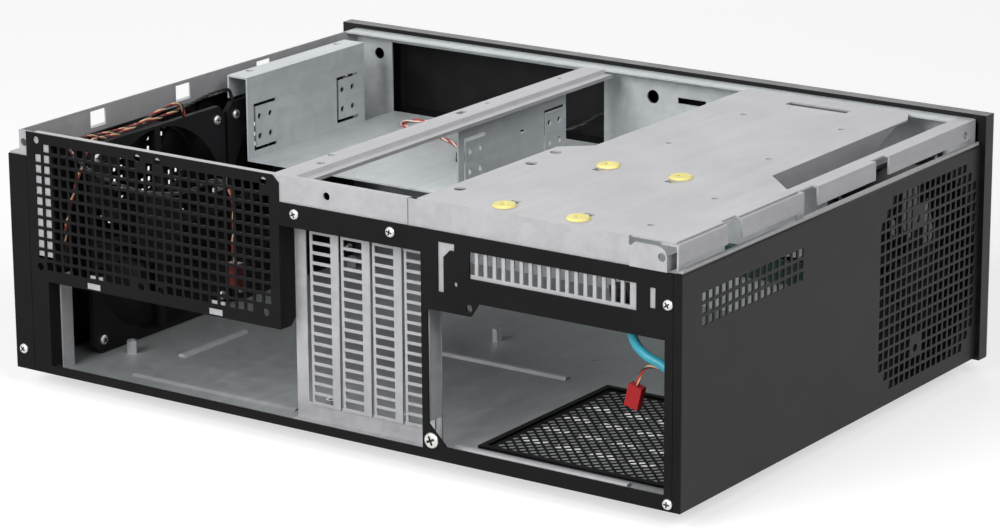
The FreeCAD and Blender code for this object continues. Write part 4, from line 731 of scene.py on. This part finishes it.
def route_curve(name, route):
    """Smooth spline with the cord's route, in millimetres, as its control points."""
    curve = bpy.data.curves.new(name, "CURVE")
    curve.dimensions = "3D"
    curve.resolution_u = 6
    line = curve.splines.new("NURBS")
    line.points.add(len(route) - 1)
    for point, spot in zip(line.points, route):
        point.co = (*metres(spot), 1)
    line.order_u = 3
    line.use_endpoint_u = True
    return curve


def route_points(name, route):
    """Points along that spline, and their running distance."""
    carrier = bpy.data.objects.new(name, route_curve(name, route))
    mesh = bpy.data.meshes.new_from_object(carrier)
    points = [vertex.co.copy() for vertex in mesh.vertices]
    bpy.data.objects.remove(carrier)
    bpy.data.meshes.remove(mesh)
    reach = [0.0]
    for before, after in zip(points, points[1:]):
        reach.append(reach[-1] + (after - before).length)
    return points, reach


red_wire = moulded("red_wire", (0.27, 0.025, 0.018), 0.4)
black_wire = moulded("black_wire", (0.015, 0.015, 0.016), 0.4)
tan_wire = moulded("tan_wire", (0.62, 0.40, 0.24), 0.4)


def wire_twist(name, route, wire_radius, lay_radius, lay_length, finishes, black_spans=()):
    """Wires twisted round one route, each with its own finish, and black over the given spans."""
    sides = 7
    points, reach = route_points(name, route)
    black_slot = len(finishes)
    tangents = [(after - before).normalized()
                for before, after in zip([points[0]] + points[:-1], points[1:] + [points[-1]])]
    normal = tangents[0].orthogonal().normalized()
    frames = []
    for tangent in tangents:
        normal = (normal - tangent * normal.dot(tangent)).normalized()
        frames.append((normal.copy(), tangent.cross(normal)))
    vertices, faces, finish_of = [], [], []
    for wire in range(len(finishes)):
        first = len(vertices)
        for point, distance, (n, b) in zip(points, reach, frames):
            lay_angle = math.tau * (distance / lay_length + wire / len(finishes))
            centre = point + (n * math.cos(lay_angle) + b * math.sin(lay_angle)) * lay_radius
            for k in range(sides):
                angle = math.tau * k / sides
                vertices.append(centre + (n * math.cos(angle) + b * math.sin(angle)) * wire_radius)
        for i in range(len(points) - 1):
            in_black_span = any(start <= reach[i] < end for start, end in black_spans)
            for k in range(sides):
                here, beside = first + i * sides + k, first + i * sides + (k + 1) % sides
                faces.append((here, beside, beside + sides, here + sides))
                finish_of.append(black_slot if in_black_span else wire)
        faces.append(tuple(first + k for k in reversed(range(sides))))
        faces.append(tuple(first + (len(points) - 1) * sides + k for k in range(sides)))
        finish_of += [wire, wire]
    mesh = bpy.data.meshes.new(name)
    mesh.from_pydata(vertices, [], faces)
    for finish in (*finishes, black_wire):
        mesh.materials.append(finish)
    mesh.polygons.foreach_set("material_index", finish_of)
    mesh.polygons.foreach_set("use_smooth", [True] * len(faces))
    return link(bpy.data.objects.new(name, mesh)), points, reach[-1]


fan_lead_width, fan_wire_radius, fan_lay_radius, fan_lay_length = 2.2 * MM, 0.52 * MM, 0.56 * MM, 14 * MM
fan_lead_routes = {
    "a": [(192.7, 38, 132.5), (192.7, 38, 138), (192.7, 44, 141.8), (193, 60, 140), (193, 76, 136),
          (192.8, 94, 134), (190.5, 111, 135.5), (184, 126, 139), (178, 137, 139), (175, 146, 131),
          (177, 150, 119), (181, 151, 106), (185, 150.5, 94), (187, 149.5, 84)],
    "b": [(192.7, -5.6, 132.5), (192.7, -5.6, 138), (193, 0.4, 141.5), (195, 16, 139.5), (198, 32, 135.5),
          (198.8, 50, 133.8), (199.2, 70, 133.6), (198.8, 90, 133.9), (198.4, 107, 135), (197, 122, 137),
          (192, 137, 138.5), (182, 148, 136), (166, 153, 130), (148, 153, 125), (128, 152, 122.5),
          (108, 151, 124), (94, 150.5, 128.5), (84, 150.8, 134.5), (76, 151, 137.2), (69.5, 150.6, 134.2),
          (67.5, 149.8, 126), (68, 149, 114), (69, 149.4, 103), (68.5, 149.2, 92)]}
fan_lead_black_spans = {"a": (), "b": ((0, 45 * MM), (165 * MM, 283 * MM))}
# Plug a is a near-black copy of the dark red plug: painted shade where it hangs behind the vent plate.
fan_plug_finishes = {"a": moulded("plug_a_shaded", (0.012, 0.006, 0.006), 0.5, 0.15),
                     "b": moulded("plug_brown", (0.09, 0.012, 0.010), 0.45, 0.2)}
for name, route in fan_lead_routes.items():
    lead, lead_path, lead_length = wire_twist(
        f"lead_{name}", route, fan_wire_radius, fan_lay_radius, fan_lay_length,
        [black_wire, red_wire, tan_wire], fan_lead_black_spans[name])
    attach(lead, "case")
    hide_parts(f"fan_lead_{name}")
    paint(fan_plug_finishes[name], f"fan_plug_{name}")


# Switch lead: a twisted red and white pair from the power switch through the bay's front opening,
# sleeved at first, looped loosely on the floor of the drive bay, with a small black plug on its end.
white_wire = moulded("white_wire", (0.70, 0.66, 0.60), 0.4)
bright_red_wire = moulded("bright_red_wire", (0.50, 0.03, 0.02), 0.38)
thin_lead_width, thin_wire_radius, thin_lay_radius = 2 * MM, 0.5 * MM, 0.5 * MM
switch_lay_length, switch_sleeves = 16 * MM, ((0, 75 * MM),)
switch_route = [
    (14, -150.1, 121), (24, -150.1, 121), (36, -152, 115.5), (46, -152, 108.5), (57, -149, 104),
    (69, -143, 101), (83, -138, 100.3), (99, -135.5, 100.3), (117, -134.5, 100.3), (134, -135, 100.3),
    (148, -134.5, 100.3), (157, -130, 100.3), (158, -122, 100.3), (150, -116, 100.3), (137, -113, 100.3),
    (121, -108.5, 100.3), (105, -101, 100.3), (92, -91.5, 100.3), (84, -80, 100.3)]
switch_lead, switch_path, switch_length = wire_twist(
    "switch_lead", switch_route, thin_wire_radius, thin_lay_radius, switch_lay_length,
    [bright_red_wire, white_wire], switch_sleeves)
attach(switch_lead, "case")
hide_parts("bay_lead")
paint(black_nylon, "bay_plug")


# Front port cable: a round teal sheath from the port board along the floor to the rear corner,
# where it climbs to its black plug, held by a nylon tie on the drive plate.
teal_sheath = moulded("teal_sheath", (0.03, 0.30, 0.39), 0.4)
port_radius = 2.5 * MM
port_route = [
    (-140, -142.25, 44), (-140, -130, 44), (-147, -116, 40), (-158, -102, 32), (-170, -86, 22.5),
    (-179, -67, 16.4), (-183, -45, 14.8), (-186, -23, 15), (-194, -3, 17), (-205, 15, 17.4),
    (-210.5, 36, 15.6), (-211.5, 60, 14.8), (-211, 86, 14.8), (-211.5, 110, 16), (-211, 129, 24),
    (-210.5, 139, 40), (-210, 146, 62), (-208, 147, 74), (-200.5, 147.6, 82), (-189, 148.1, 85),
    (-181.5, 149, 93.5), (-180, 150, 106)]
port_reach = route_points("port_measure", port_route)[1]
port_curve = route_curve("port_sheath", port_route)
port_curve.bevel_depth = port_radius
port_curve.bevel_resolution = 4
port_curve.use_fill_caps = True
port_curve.materials.append(teal_sheath)
port_sheath = link(bpy.data.objects.new("port_sheath", port_curve))
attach(port_sheath, "case")
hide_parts("port_cable")
paint(black_nylon, "port_plug", "cable_tie")


# Branch lead: three thin insulated wires, loosely twisted, that leave the port cable at the rear
# corner and hang down to a red moulded plug.
branch_lay_length = 18 * MM
branch_route = [
    (-206.8, 145.8, 75.2), (-200.5, 143, 78.2), (-193.5, 142.3, 78.6), (-187, 142, 77.6), (-182.6, 142, 73.6),
    (-181, 142, 66.8)]
branch, branch_path, branch_length = wire_twist(
    "branch_pair", branch_route, thin_wire_radius, thin_lay_radius, branch_lay_length,
    [tan_wire, bright_red_wire, black_wire])
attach(branch, "case")
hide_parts("plug_lead")
paint(moulded("plug_red", (0.28, 0.010, 0.012), 0.4, 0.2), "red_plug")
